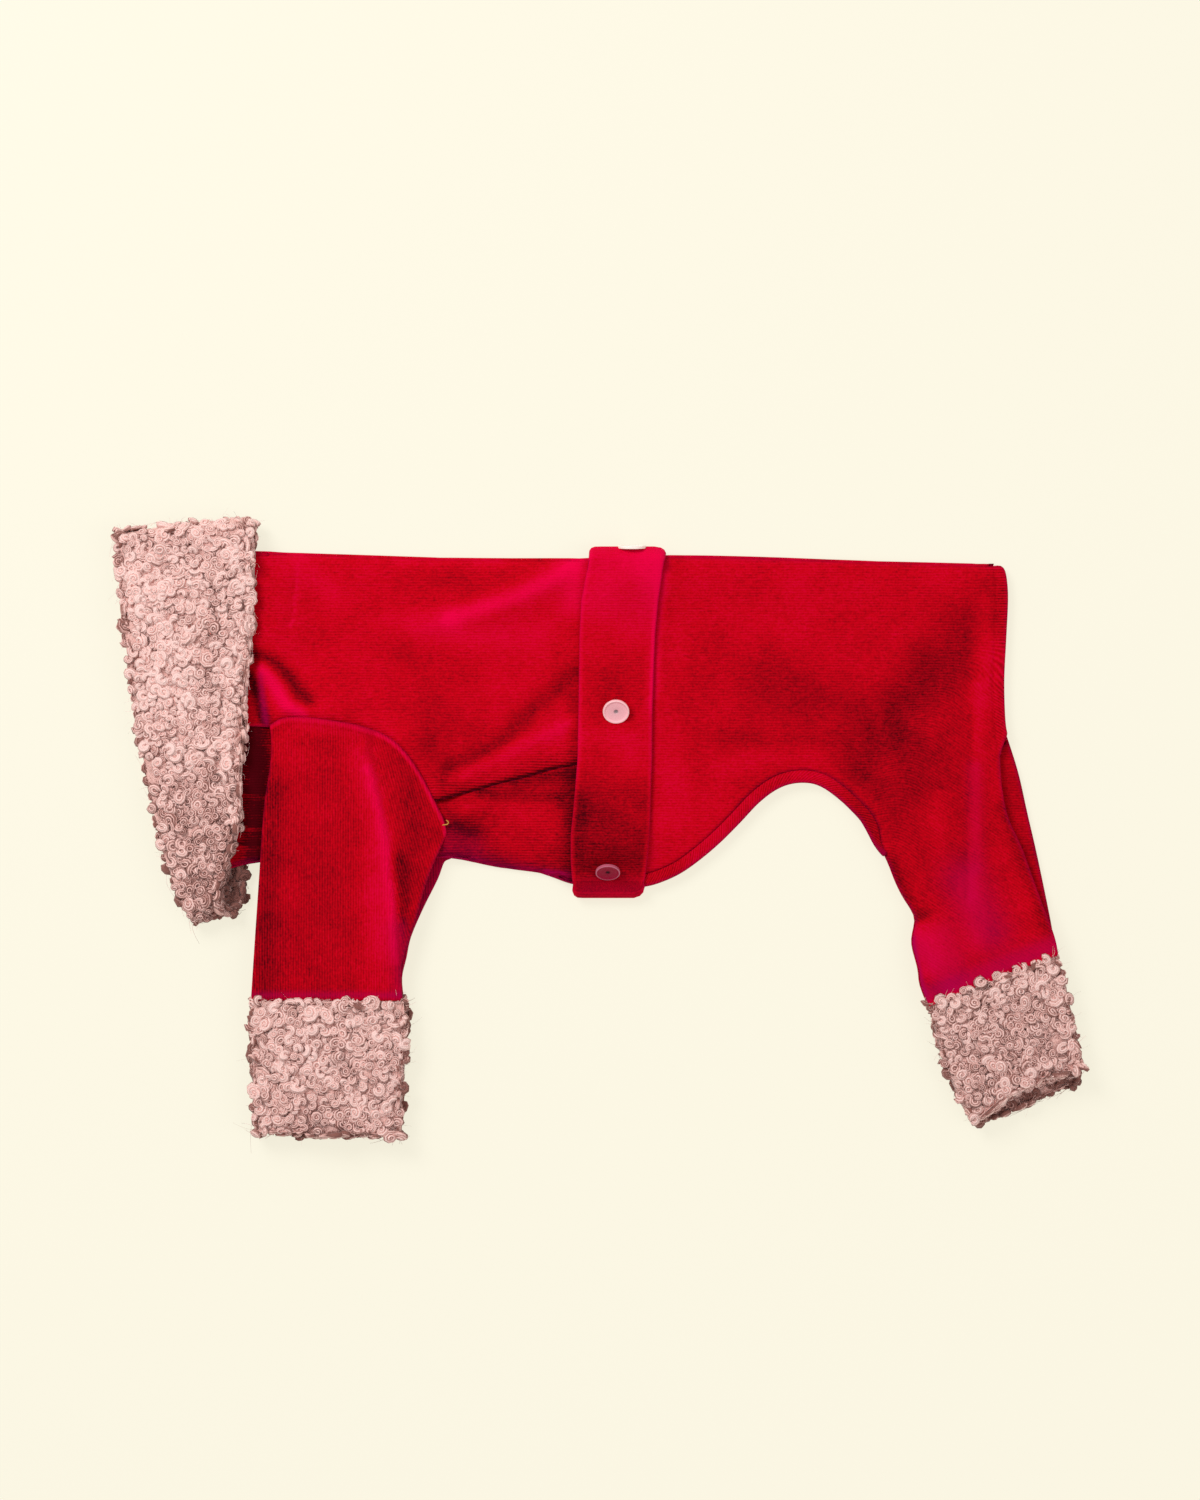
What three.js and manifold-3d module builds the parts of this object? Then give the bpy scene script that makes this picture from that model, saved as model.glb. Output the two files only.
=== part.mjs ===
// A small dog's onesie pajama in velour, with a turned-over boucle collar and four boucle cuffs.
// It lies flat on its side, folded along the centre of the back. X runs from the collar to the
// tail, Y from the feet up to the back, and Z up from the surface that it lies on. Millimetres.
// The near half is the one on top, and the far half lies on the surface.

import * as THREE from 'three';
import { mergeVertices } from 'three/addons/utils/BufferGeometryUtils.js';
import Module from 'manifold-3d';

const wasm = await Module();
wasm.setup();

// Driving dimensions
const VELOUR = 1.6;
const BOUCLE = 3.6;
const GAP = 0.3;
const LAYER = VELOUR + GAP;
const CUFF_HOLLOW = 1.0;
const CUFF_HEIGHT = 2 * BOUCLE + CUFF_HOLLOW;
const FOLD_JOIN = 1.2;
const HEM_WIDTH = 5.5;
const HEM_WALL = 2;
const HEM_RISE = 0.6;
const SNAP_RADIUS = 6.95;
const SNAP_HEIGHT = 1.9;
const CENTRE_SHIFT = { x: 0, y: 0.45 };

// Heights of the middle of each cloth layer
const FAR = VELOUR / 2;
const BODY_REST = 4.8;
const NECK_FAR = 8.1;
const NECK_NEAR = 10;
const LEG_STACK = [FAR, FAR + LAYER, FAR + 2 * LAYER, FAR + 3 * LAYER];
const CUFF_FAR = CUFF_HEIGHT / 2;
const CUFF_NEAR = 1.5 * CUFF_HEIGHT + GAP;
const CUFF_LAYER = 1.3;

const table = (columns, rows) => rows.map(
  (row) => Object.fromEntries(columns.map((column, place) => [column, row[place]])),
);

// Outlines of the pieces, seen from above
const BACK_FOLD = table(['x', 'y'], [
  [-206, 139.4], [-150, 138.2], [-80, 135.8], [-10, 135.3], [34, 137], [80, 136.3], [140, 134],
  [190, 132.8], [236, 132.8],
]);
const TAIL_EDGE = table(['x', 'y'], [
  [198, 132.6], [203, 130], [204.5, 114], [203.5, 94], [202.5, 74], [203, 54], [204, 47],
]);
const LEG_REAR_NEAR = table(['x', 'y'], [
  [204, 47], [200.5, 38], [200, 30], [203, 8], [210.5, -11], [218.5, -35], [225.5, -53], [227.5, -60.2],
]);
const LEG_REAR_FAR = table(['x', 'y'], [
  [204, 47], [210, 28], [214.5, 8], [220, -16], [226, -46], [227.7, -59.8],
]);
const LEG_FRONT = table(['x', 'y'], [
  [163, -85.8], [160, -76], [156.5, -58], [156.8, -47], [150, -31], [142.5, -8.8],
]);
const BELLY_OPENING = table(['x', 'y'], [
  [142.5, -8.8], [139.6, -5.6], [130, 4.7], [120, 15.2], [110, 21.7], [100, 23.2], [90, 20.7],
  [80, 13.7], [70, 3.2],
  [60, -6.8], [50, -15.3], [40, -22.3], [30, -26.8], [22.5, -28.8], [8, -30.7],
]);
const SIDE_SEAM = table(['x', 'y'], [
  [6, 33.2], [-11, 31.3], [-25, 28.8], [-40, 22.3], [-60, 16.8], [-81.5, 11.8],
]);
const SLEEVE_HEAD = table(['x', 'y'], [
  [-76.6, -3.2], [-77.5, 3.3], [-82.5, 13.8], [-89, 26.3], [-96.5, 37.8], [-106, 46.3],
  [-120.5, 51.8],
  [-134, 54.3], [-145.5, 55.8], [-158, 55.6], [-165.4, 51.6],
]);
const BELLY_FOLD = table(['x', 'y'], [
  [-192, -22.5], [-169, -16.8], [-120, -16], [-76.5, -14.8], [-50, -19.8], [-30, -22.4], [-14, -28],
  [5.6, -30],
]);
const UNDERARM = table(['x', 'y'], [
  [-84, 10], [-98, 5], [-120, 3], [-145, 10], [-158, 28], [-166.8, 51.4],
]);
const SLEEVE_FRONT = table(['x', 'y'], [
  [-165.4, 51.6], [-164.2, 40], [-165.2, 28], [-167.4, 14], [-169, -4], [-170, -20], [-174, -82.7],
]);
const SLEEVE_REAR_NEAR = table(['x', 'y'], [
  [-76.6, -3.2], [-80.5, -11.5], [-87, -32], [-94.5, -51], [-100, -69], [-98.7, -82.7],
]);
const SLEEVE_REAR_FAR = table(['x', 'y'], [
  [-76.6, -3.2], [-75, -14.2], [-82, -26], [-90, -41], [-96.4, -62], [-98.7, -82.7],
]);
const FRONT_CUFF = {
  top: [[-176.5, -83], [-94.8, -83]],
  left: [[-176.5, -83], [-176.4, -104], [-175.4, -128], [-175, -154.4]],
  right: [[-94.8, -83], [-94.4, -96], [-96, -122], [-98.2, -155.2]],
  bottom: [
    [-175, -154.4], [-160, -153.2], [-146, -155.7], [-136, -156], [-124, -153.7], [-110, -156],
    [-98.2, -155.2],
  ],
};
const HIND_CUFF_NEAR = {
  top: [[162, -86.8], [230, -59.9]],
  left: [[162, -86.8], [165, -101], [170.5, -119], [178, -133], [181.5, -143]],
  right: [[230, -59.9], [235.5, -81.7], [239, -100], [244.3, -121]],
  bottom: [
    [181.5, -143], [189.5, -147.5], [196, -140.6], [204.5, -134], [216, -129], [224, -124.5],
    [244.3, -121],
  ],
};
const HIND_CUFF_FAR = {
  top: [[162.6, -86.6], [229.6, -60.1]],
  left: [[162.6, -86.6], [166, -102], [172, -121], [184.5, -147.4]],
  right: [[229.6, -60.1], [235, -82], [239, -102], [243, -128]],
  bottom: [[184.5, -147.4], [197.5, -146.8], [210, -141.8], [219, -137.2], [230, -133.2], [243, -128]],
};
const BELT_EDGES = table(['y', 'left', 'right'], [
  [142, -4.5, 32.5], [133, -6, 30.5], [114, -9, 29.5], [97, -10, 27.2], [60, -10.5, 26.2], [35, -11, 26],
  [10, -13, 25.2], [-10, -14.5, 23.8], [-21, -14, 22.5], [-34, -12, 19.5],
]);
const COLLAR_EDGES = table(['y', 'left', 'right'], [
  [156, -244.7, -170], [114, -241.5, -170], [84, -236.5, -172], [54, -233, -174], [34, -229.5, -176.5],
  [-1, -223, -178], [-16, -219, -184], [-30, -212, -189], [-44, -203, -188],
]);
const COLLAR_FAR_RIGHT = table(['y', 'right'], [
  [156, -171], [54, -175], [-1, -178], [-20, -176], [-36, -176], [-46, -186],
]);
const COLLAR_SLANT = 6.5;

// Where the near cloth stands higher or lower than its rest height
const SWELLS = table(['x', 'y', 'reachX', 'reachY', 'rise'], [
  [16, 126, 30, 18, 5.2],
  [4, -6, 24, 11.5, 8.4],
  [-40, 70, 46, 40, 1.4],
  [95, 70, 50, 40, 1.5],
  [176, 30, 22, 60, 1.6],
  [-66, -2, 9, 8, -1.2],
]);
const FOLDS = table(['fromX', 'fromY', 'toX', 'toY', 'reach', 'rise'], [
  [-163, 56, -134, 58, 20, 5.4],
  [-134, 58, -98, 42, 20, 5.2],
  [-98, 42, -80, 10, 17, 4.6],
  [-165, 80, -160, 62, 9, 1.2],
  [-18, 134, -50, 112, 11, 1.4],
  [-50, 112, -110, 100, 12, 1.1],
  [-78, 18, -12, 37, 9, 1.5],
  [186, 106, 128, 32, 13, -1.6],
]);

// Interpolation and outline helpers
const soften = (t) => {
  const held = Math.min(Math.max(t, 0), 1);
  return held * held * (3 - 2 * held);
};

function lookUp(rows, key, at, column) {
  const ordered = [...rows].sort((a, b) => a[key] - b[key]);
  if (at <= ordered[0][key]) return ordered[0][column];
  for (let i = 1; i < ordered.length; i += 1) {
    const [low, high] = [ordered[i - 1], ordered[i]];
    if (at > high[key]) continue;
    const share = (at - low[key]) / (high[key] - low[key]);
    return THREE.MathUtils.lerp(low[column], high[column], share);
  }
  return ordered.at(-1)[column];
}

const asVectors = (rows) => rows.map((row) => (Array.isArray(row)
  ? new THREE.Vector2(row[0], row[1]) : new THREE.Vector2(row.x, row.y)));

function smoothLine(rows, stepsPerSpan = 2) {
  const points = asVectors(rows);
  if (points.length < 3) return points;
  return new THREE.SplineCurve(points).getPoints((points.length - 1) * stepsPerSpan);
}

function alongLine(points, share) {
  const lengths = [0];
  for (let i = 1; i < points.length; i += 1) {
    lengths.push(lengths[i - 1] + points[i].distanceTo(points[i - 1]));
  }
  const target = share * lengths.at(-1);
  const span = Math.max(1, lengths.findIndex((length) => length >= target - 1e-9));
  const inside = (target - lengths[span - 1]) / (lengths[span] - lengths[span - 1]);
  return points[span - 1].clone().lerp(points[span], inside);
}

function offsetLine(points, distance) {
  return points.map((point, i) => {
    const before = points[Math.max(i - 1, 0)];
    const after = points[Math.min(i + 1, points.length - 1)];
    const along = after.clone().sub(before).normalize();
    return new THREE.Vector2(point.x + along.y * distance, point.y - along.x * distance);
  });
}

// Solid helpers
function geometryOf(points, triangles) {
  const geometry = new THREE.BufferGeometry();
  geometry.setAttribute('position', new THREE.Float32BufferAttribute(points.flat(), 3));
  geometry.setIndex(triangles.flat());
  return geometry;
}

function toManifold(geometry) {
  const bare = geometry.clone();
  bare.deleteAttribute('normal');
  bare.deleteAttribute('uv');
  const merged = mergeVertices(bare, 1e-5);
  return new wasm.Manifold(new wasm.Mesh({
    numProp: 3,
    vertProperties: Float32Array.from(merged.attributes.position.array),
    triVerts: Uint32Array.from(merged.index.array),
  }));
}

function fromManifold(solid) {
  const mesh = solid.getMesh();
  const geometry = new THREE.BufferGeometry();
  geometry.setAttribute('position', new THREE.BufferAttribute(mesh.vertProperties, 3));
  geometry.setIndex(new THREE.BufferAttribute(mesh.triVerts, 1));
  return geometry;
}

// A wall of even thickness about a grid of middle points. The first index may run round a loop.
function wallAbout(grid, wall, looped = false) {
  const rows = grid.length;
  const columns = grid[0].length;
  const rowAt = (i) => (looped ? (i + rows) % rows : Math.min(Math.max(i, 0), rows - 1));
  const columnAt = (j) => Math.min(Math.max(j, 0), columns - 1);
  const points = [[], []];
  for (let i = 0; i < rows; i += 1) {
    for (let j = 0; j < columns; j += 1) {
      const along = grid[rowAt(i + 1)][j].clone().sub(grid[rowAt(i - 1)][j]);
      const across = grid[i][columnAt(j + 1)].clone().sub(grid[i][columnAt(j - 1)]);
      const normal = along.cross(across).normalize().multiplyScalar(wall / 2);
      points[0].push(grid[i][j].clone().add(normal).toArray());
      points[1].push(grid[i][j].clone().sub(normal).toArray());
    }
  }
  const inner = rows * columns;
  const at = (i, j) => rowAt(i) * columns + j;
  const triangles = [];
  const quad = (a, b, c, d) => triangles.push([a, b, c], [a, c, d]);
  for (let i = 0; i < (looped ? rows : rows - 1); i += 1) {
    for (let j = 0; j < columns - 1; j += 1) {
      quad(at(i, j), at(i + 1, j), at(i + 1, j + 1), at(i, j + 1));
      quad(inner + at(i, j), inner + at(i, j + 1), inner + at(i + 1, j + 1), inner + at(i + 1, j));
    }
    quad(at(i, 0), inner + at(i, 0), inner + at(i + 1, 0), at(i + 1, 0));
    const last = columns - 1;
    quad(at(i, last), at(i + 1, last), inner + at(i + 1, last), inner + at(i, last));
  }
  if (!looped) {
    for (let j = 0; j < columns - 1; j += 1) {
      quad(at(0, j), at(0, j + 1), inner + at(0, j + 1), inner + at(0, j));
      const end = rows - 1;
      quad(at(end, j), inner + at(end, j), inner + at(end, j + 1), at(end, j + 1));
    }
  }
  return geometryOf([...points[0], ...points[1]], triangles);
}

// A slab between a height field and the same field lowered by the wall, cut to an outline
function cutSlab({ columns, rowsAt, height, wall, outline }) {
  const rows = rowsAt(columns[0]).length;
  const points = [[], []];
  columns.forEach((x) => rowsAt(x).forEach((y) => {
    const middle = height(x, y);
    points[0].push([x, y, middle + wall / 2]);
    points[1].push([x, y, middle - wall / 2]);
  }));
  const under = columns.length * rows;
  const at = (i, j) => i * rows + j;
  const triangles = [];
  const quad = (a, b, c, d) => triangles.push([a, b, c], [a, c, d]);
  for (let i = 0; i < columns.length - 1; i += 1) {
    for (let j = 0; j < rows - 1; j += 1) {
      quad(at(i, j), at(i + 1, j), at(i + 1, j + 1), at(i, j + 1));
      quad(under + at(i, j), under + at(i, j + 1), under + at(i + 1, j + 1), under + at(i + 1, j));
    }
    quad(at(i, 0), under + at(i, 0), under + at(i + 1, 0), at(i + 1, 0));
    const last = rows - 1;
    quad(at(i, last), at(i + 1, last), under + at(i + 1, last), under + at(i, last));
  }
  for (let j = 0; j < rows - 1; j += 1) {
    quad(at(0, j), at(0, j + 1), under + at(0, j + 1), under + at(0, j));
    const end = columns.length - 1;
    quad(at(end, j), under + at(end, j), under + at(end, j + 1), at(end, j + 1));
  }
  const slab = toManifold(geometryOf([...points[0], ...points[1]], triangles));
  const tall = { depth: 60, bevelEnabled: false, curveSegments: 1 };
  const prism = new THREE.ExtrudeGeometry(new THREE.Shape(outline), tall);
  prism.translate(0, 0, -20);
  return slab.intersect(toManifold(prism));
}

const spread = (from, to, step) => {
  const count = Math.ceil((to - from) / step);
  return Array.from({ length: count + 1 }, (_, i) => THREE.MathUtils.lerp(from, to, i / count));
};

// Height of the near outer cloth
function swell(x, y) {
  let rise = 0;
  for (const bump of SWELLS) {
    rise += bump.rise * Math.exp(-(((x - bump.x) / bump.reachX) ** 2) - ((y - bump.y) / bump.reachY) ** 2);
  }
  for (const fold of FOLDS) {
    const from = new THREE.Vector2(fold.fromX, fold.fromY);
    const along = new THREE.Vector2(fold.toX, fold.toY).sub(from);
    const point = new THREE.Vector2(x, y).sub(from);
    const share = THREE.MathUtils.clamp(point.dot(along) / along.lengthSq(), 0, 1);
    rise += fold.rise * Math.exp(-((point.distanceTo(along.multiplyScalar(share)) / fold.reach) ** 2)) / 1.35;
  }
  return rise;
}

const collarRight = (y) => lookUp(COLLAR_EDGES, 'y', y, 'right');
const collarFarRight = (y) => lookUp(COLLAR_FAR_RIGHT, 'y', y, 'right');
const neckShare = (x, y, width) => {
  const collarEnd = Math.max(collarRight(y), collarFarRight(y));
  return 1 - soften((x - collarEnd - 2) / width);
};
const cuffShare = (x, y) => {
  const down = (x - 163) * 0.369 - (y + 85.8) * 0.929;
  return x > 130 ? soften((46 + down) / 46) : 0;
};

function nearHeight(x, y) {
  const legShare = soften((x - 120) / 30) * soften((64 - y) / 30);
  const rest = THREE.MathUtils.lerp(BODY_REST, LEG_STACK[3] + 0.6, legShare);
  const neck = neckShare(x, y, 30);
  const free = THREE.MathUtils.lerp(rest + swell(x, y), NECK_NEAR, neck);
  const lift = cuffShare(x, y);
  return THREE.MathUtils.lerp(free, CUFF_NEAR + CUFF_LAYER, lift);
}

function farHeight(x, y) {
  const belt = soften((x + 26) / 8) * soften((44 - x) / 8);
  const neck = neckShare(x, y, 12);
  const low = FAR + LAYER * belt;
  const lifted = THREE.MathUtils.lerp(low, NECK_FAR, neck);
  return THREE.MathUtils.lerp(lifted, CUFF_FAR - CUFF_LAYER, cuffShare(x, y));
}

// Near a fold the near cloth rounds down until it runs into the far cloth
function rounded(near, far, distance, reach) {
  const t = THREE.MathUtils.clamp((distance - FOLD_JOIN) / reach, 0, 1);
  const meeting = far + 1;
  return meeting + (near - meeting) * Math.sqrt(1 - (1 - t) ** 2);
}

const backAt = (x) => lookUp(BACK_FOLD, 'x', x, 'y');
const bellyAt = (x) => lookUp(BELLY_FOLD, 'x', x, 'y');
const backNear = (x, y) => rounded(nearHeight(x, y), farHeight(x, y), backAt(x) - y, 11);

function chestHeights(x, y) {
  const neck = neckShare(x, y, 9);
  const between = soften((x + 178) / 8) * soften((-62 - x) / 16);
  const farFree = THREE.MathUtils.lerp(farHeight(x, y), LEG_STACK[2], between);
  const nearFree = THREE.MathUtils.lerp(nearHeight(x, y), LEG_STACK[3], between);
  return {
    far: THREE.MathUtils.lerp(farFree, NECK_FAR, neck),
    near: THREE.MathUtils.lerp(nearFree, NECK_NEAR, neck),
  };
}

// Back panel with the outer hind legs, cut in one on the fold
const HEM_LINE = offsetLine(smoothLine(BELLY_OPENING), HEM_WIDTH + GAP);

function backOutline(legRear) {
  return [
    ...smoothLine(BACK_FOLD.slice(0, -2), 1),
    ...smoothLine(TAIL_EDGE),
    ...smoothLine(legRear).slice(1),
    ...smoothLine(LEG_FRONT),
    ...HEM_LINE.slice(1),
    ...asVectors([[6.6, -22], [6.6, 33.2]]),
    ...smoothLine(SIDE_SEAM),
    ...smoothLine(SLEEVE_HEAD).filter((point) => point.y > 12),
    ...asVectors([[-206, 52.3]]),
  ].filter((point, i, all) => i === 0 || point.distanceTo(all[i - 1]) > 0.4);
}

function backPanel() {
  const depths = [
    -3, 0, 1.2, 3.5, 7, 11, 18, 28, 40, 52, 64, 76, 88, 100, 112, 124, 138, 152, 168, 184, 202, 224,
  ];
  const farDepths = [-3, 0, 60, 120, 150, 165, 180, 195, 210, 224];
  const near = cutSlab({
    columns: spread(-207, 236, 12.4),
    rowsAt: (x) => depths.map((depth) => backAt(x) - depth).reverse(),
    height: backNear,
    wall: VELOUR,
    outline: backOutline(LEG_REAR_NEAR),
  });
  const far = cutSlab({
    columns: [
      -207, -186, -176, -168, -162, -156, -120, -27, -22, -17, 35, 40, 45, 130, 145, 160, 175, 190,
      205, 220, 236,
    ],
    rowsAt: (x) => farDepths.map((depth) => backAt(x) - depth).reverse(),
    height: farHeight,
    wall: VELOUR,
    outline: backOutline(LEG_REAR_FAR),
  });
  return fromManifold(near.add(far));
}

// Belly panel, folded along its own centre, from the neck between the front legs to the belt
function bellyPanel() {
  const outline = [
    ...smoothLine(BELLY_FOLD),
    ...asVectors([[6.2, 32.7]]),
    ...offsetLine(smoothLine(SIDE_SEAM), -GAP).slice(1, -1),
    ...smoothLine(UNDERARM),
    ...asVectors([[-192, 51.6]]),
  ];
  const rows = [-3, 0, 1.2, 3.5, 7, 12, 20, 30, 42, 54, 66, 82];
  const layer = (height, columns) => cutSlab({
    columns,
    rowsAt: (x) => rows.map((row) => bellyAt(x) + row),
    height,
    wall: VELOUR,
    outline,
  });
  const columns = spread(-193, 8, 9.6);
  const near = (x, y) => {
    const { near: top, far } = chestHeights(x, y);
    return rounded(top, far, y - bellyAt(x), 8);
  };
  const far = (x, y) => chestHeights(x, y).far;
  return fromManifold(layer(near, columns).add(layer(far, columns)));
}

// Inner hind legs
function innerLeg(legRear, layer, cuffHeight) {
  const inset = 0.6;
  const crotch = 27;
  const outline = [
    ...offsetLine(smoothLine(legRear), inset).filter((point) => point.y < crotch),
    ...offsetLine(smoothLine(LEG_FRONT), inset),
  ];
  return fromManifold(cutSlab({
    columns: spread(138, 230, 13),
    rowsAt: () => spread(-90, 50, 14),
    height: (x, y) => THREE.MathUtils.lerp(LEG_STACK[layer], cuffHeight, cuffShare(x, y)),
    wall: VELOUR,
    outline,
  }));
}

// A flattened tube between four edge lines: two layers that meet in round folds at left and right
function flatTube({ top, bottom, left, right, rings, columns, wall, centre, height }) {
  const edges = [top, bottom, left, right].map((rows) => smoothLine(rows));
  const [topLine, bottomLine, leftLine, rightLine] = edges;
  const place = (u, s) => {
    const parts = [
      [topLine, u, 1 - s], [bottomLine, u, s], [leftLine, s, 1 - u], [rightLine, s, u],
      [topLine, 0, -(1 - u) * (1 - s)], [topLine, 1, -u * (1 - s)],
      [bottomLine, 0, -(1 - u) * s], [bottomLine, 1, -u * s],
    ];
    const sum = new THREE.Vector2();
    parts.forEach(([line, share, weight]) => sum.addScaledVector(alongLine(line, share), weight));
    return sum;
  };
  const ring = (s, inset, tall) => {
    const width = place(0, s).distanceTo(place(1, s));
    const shrink = inset / width;
    const points = [];
    for (const side of [1, -1]) {
      for (let k = 0; k < columns; k += 1) {
        const swing = -Math.cos((Math.PI * k) / columns) * side;
        const u = shrink + (1 - 2 * shrink) * (0.5 + 0.5 * swing);
        const round = (1 - Math.abs(swing) ** 5) ** 0.5;
        const at = place(u, s);
        points.push([at.x, at.y, centre(s, at.x) + (side * tall(s, u) * round) / 2]);
      }
    }
    return points;
  };
  const outer = [];
  const inner = [];
  for (let i = 0; i <= rings; i += 1) {
    outer.push(...ring(i / rings, 0, height));
    inner.push(...ring(i / rings, wall, (s, u) => height(s, u) - 2 * wall));
  }
  const around = 2 * columns;
  const shift = outer.length;
  const triangles = [];
  const quad = (a, b, c, d) => triangles.push([a, b, c], [a, c, d]);
  for (let k = 0; k < around; k += 1) {
    const next = (k + 1) % around;
    for (let i = 0; i < rings; i += 1) {
      const [low, high] = [i * around, (i + 1) * around];
      quad(low + k, high + k, high + next, low + next);
      quad(shift + low + k, shift + low + next, shift + high + next, shift + high + k);
    }
    quad(k, next, shift + next, shift + k);
    const end = rings * around;
    quad(end + k, shift + end + k, shift + end + next, end + next);
  }
  return geometryOf([...outer, ...inner], triangles);
}

function sleeve(rear, headCentre, cuffCentre, puff) {
  const head = [...SLEEVE_HEAD].reverse();
  const inward = offsetLine(asVectors(head), GAP + 0.1).map((point) => [point.x, point.y]);
  const front = SLEEVE_FRONT.map((row, i) => (i === 0 ? inward[0] : [row.x, row.y]));
  const back = rear.map((row, i) => (i === 0 ? inward.at(-1) : [row.x, row.y]));
  const swollen = (s) => puff * Math.sin(Math.PI * s);
  return flatTube({
    top: inward,
    bottom: [front.at(-1), back.at(-1)],
    left: front,
    right: back,
    rings: 12,
    columns: 8,
    wall: VELOUR,
    centre: (s) => THREE.MathUtils.lerp(headCentre, cuffCentre, soften((s - 0.45) / 0.5)) + swollen(s) / 2,
    height: (s) => 2 * VELOUR + 0.4 + swollen(s),
  });
}

const cuff = (edges, centre) => flatTube({
  ...edges,
  rings: 5,
  columns: 9,
  wall: BOUCLE,
  centre: () => centre,
  height: () => CUFF_HEIGHT,
});

// Hem strips round the belly opening
function bellyHem(height) {
  const edge = smoothLine(BELLY_OPENING).slice(2);
  const grid = [0, 0.5, 1].map((share) => {
    const strip = offsetLine(edge, share * HEM_WIDTH);
    return strip.map((point) => new THREE.Vector3(point.x, point.y, height(point.x, point.y)));
  });
  return wallAbout(grid.reverse(), HEM_WALL);
}

// Belt: one band round both halves, a little clear of the cloth under it
const BELT_CLEAR = 3.1;

function beltHeight(x, y) {
  const overBelly = x < 6 && y < bellyAt(x) + 20;
  const body = overBelly
    ? rounded(nearHeight(x, y), farHeight(x, y), y - bellyAt(x), 8)
    : backNear(x, y);
  return body + BELT_CLEAR;
}

function beltLoop() {
  const stations = [];
  for (const y of spread(-22, 132, 9)) stations.push({ y, height: (x) => beltHeight(x, y) });
  const bend = table(['y', 'z'], [[137, 9.6], [139.8, 7.8], [140.7, 5.2], [140, 2.6], [137.4, 1]]);
  bend.forEach((row) => stations.push({ y: row.y, height: () => row.z }));
  for (const y of spread(-25, 132, 16).reverse()) stations.push({ y, height: () => FAR });
  const lower = table(['y', 'z'], [[-31, 0.85], [-32.8, 2.2], [-33.1, 4.4], [-32.4, 6.6], [-29, 8.4]]);
  lower.forEach((row) => stations.push({ y: row.y, height: () => row.z }));
  const grid = stations.map(({ y, height }) => [0, 0.25, 0.5, 0.75, 1].map((share) => {
    const left = lookUp(BELT_EDGES, 'y', y, 'left');
    const right = lookUp(BELT_EDGES, 'y', y, 'right');
    const x = THREE.MathUtils.lerp(left, right, share);
    return new THREE.Vector3(x, y, height(x));
  }));
  return wallAbout(grid.map((row) => row.reverse()), VELOUR, true);
}

// Collar: a turned-over band whose two layers share a round fold on the left and part on the right
const COLLAR_THICK = 7;
const COLLAR_SECTION = table(['across', 'out'], [
  [0, 0], [0.16, 0], [0.34, 0], [0.52, 0], [0.7, 0], [0.88, 0.1], [0.97, 1.2], [1, 3.5], [0.97, 5.8],
  [0.88, 6.9], [0.7, 7], [0.52, 7], [0.34, 7], [0.16, 7], [0.02, 6.4], [0, 4.1], [0.3, 3.6], [0.02, 3.2],
]);

function collarLoop() {
  const inner = [];
  for (const y of spread(-22, 144, 15)) inner.push({ y, z: NECK_NEAR + 1.1, side: 'near' });
  inner.push({ y: 147.6, z: 10.6, side: 'near' });
  inner.push({ y: 148.8, z: 9, side: 'near' });
  inner.push({ y: 147.6, z: 7.5, side: 'far' });
  for (const y of spread(-26, 144, 15).reverse()) inner.push({ y, z: COLLAR_THICK, side: 'far' });
  inner.push({ y: -35, z: 7.1, side: 'far' });
  inner.push({ y: -40.5, z: 7.8, side: 'far' });
  inner.push({ y: -39.5, z: 9.4, side: 'near' });
  inner.push({ y: -31, z: 10.8, side: 'near' });
  const count = inner.length;
  const points = [];
  inner.forEach((station, i) => {
    const before = inner[(i + count - 1) % count];
    const after = inner[(i + 1) % count];
    const along = new THREE.Vector2(after.y - before.y, after.z - before.z).normalize();
    const outward = new THREE.Vector2(-along.y, along.x);
    const right = station.side === 'near'
      ? collarRight(station.y) : collarFarRight(station.y);
    const left = lookUp(COLLAR_EDGES, 'y', station.y, 'left') + (station.side === 'near' ? 0 : 1);
    for (const { across, out } of COLLAR_SECTION) {
      const x = THREE.MathUtils.lerp(right, left, across);
      const y = station.y + outward.x * out - across * COLLAR_SLANT;
      points.push([x, y, Math.max(0, station.z + outward.y * out)]);
    }
  });
  const around = COLLAR_SECTION.length;
  const triangles = [];
  for (let i = 0; i < count; i += 1) {
    const next = (i + 1) % count;
    for (let k = 0; k < around; k += 1) {
      const turn = (k + 1) % around;
      const [a, b, c, d] = [i * around + k, next * around + k, next * around + turn, i * around + turn];
      triangles.push([a, c, b], [a, d, c]);
    }
  }
  return geometryOf(points, triangles);
}

// Press snap cap with a raised rim and a dimple
function snapCap() {
  const half = table(['r', 'h'], [
    [0, 0], [SNAP_RADIUS - 0.6, 0], [SNAP_RADIUS, 0.5], [SNAP_RADIUS, 1.4], [SNAP_RADIUS - 0.5, SNAP_HEIGHT],
    [SNAP_RADIUS - 1.3, SNAP_HEIGHT], [SNAP_RADIUS - 1.9, 1.4], [1.1, 1.4], [0.7, 0.9], [0, 0.9],
  ]);
  const profile = half.map(({ r, h }) => new THREE.Vector2(r, h));
  const cap = new THREE.LatheGeometry(profile, 20);
  cap.rotateX(Math.PI / 2);
  return cap;
}

// Materials
const finish = (color, roughness) => new THREE.MeshStandardMaterial({ color, roughness, metalness: 0 });
const velour = () => finish(0xc0102c, 0.9);
const velourShade = () => finish(0x9c0c26, 0.9);
const boucle = () => finish(0xdcafa8, 1);
const resin = () => finish(0xffbcc4, 0.35);

// Assembly
const garment = new THREE.Group();

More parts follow.
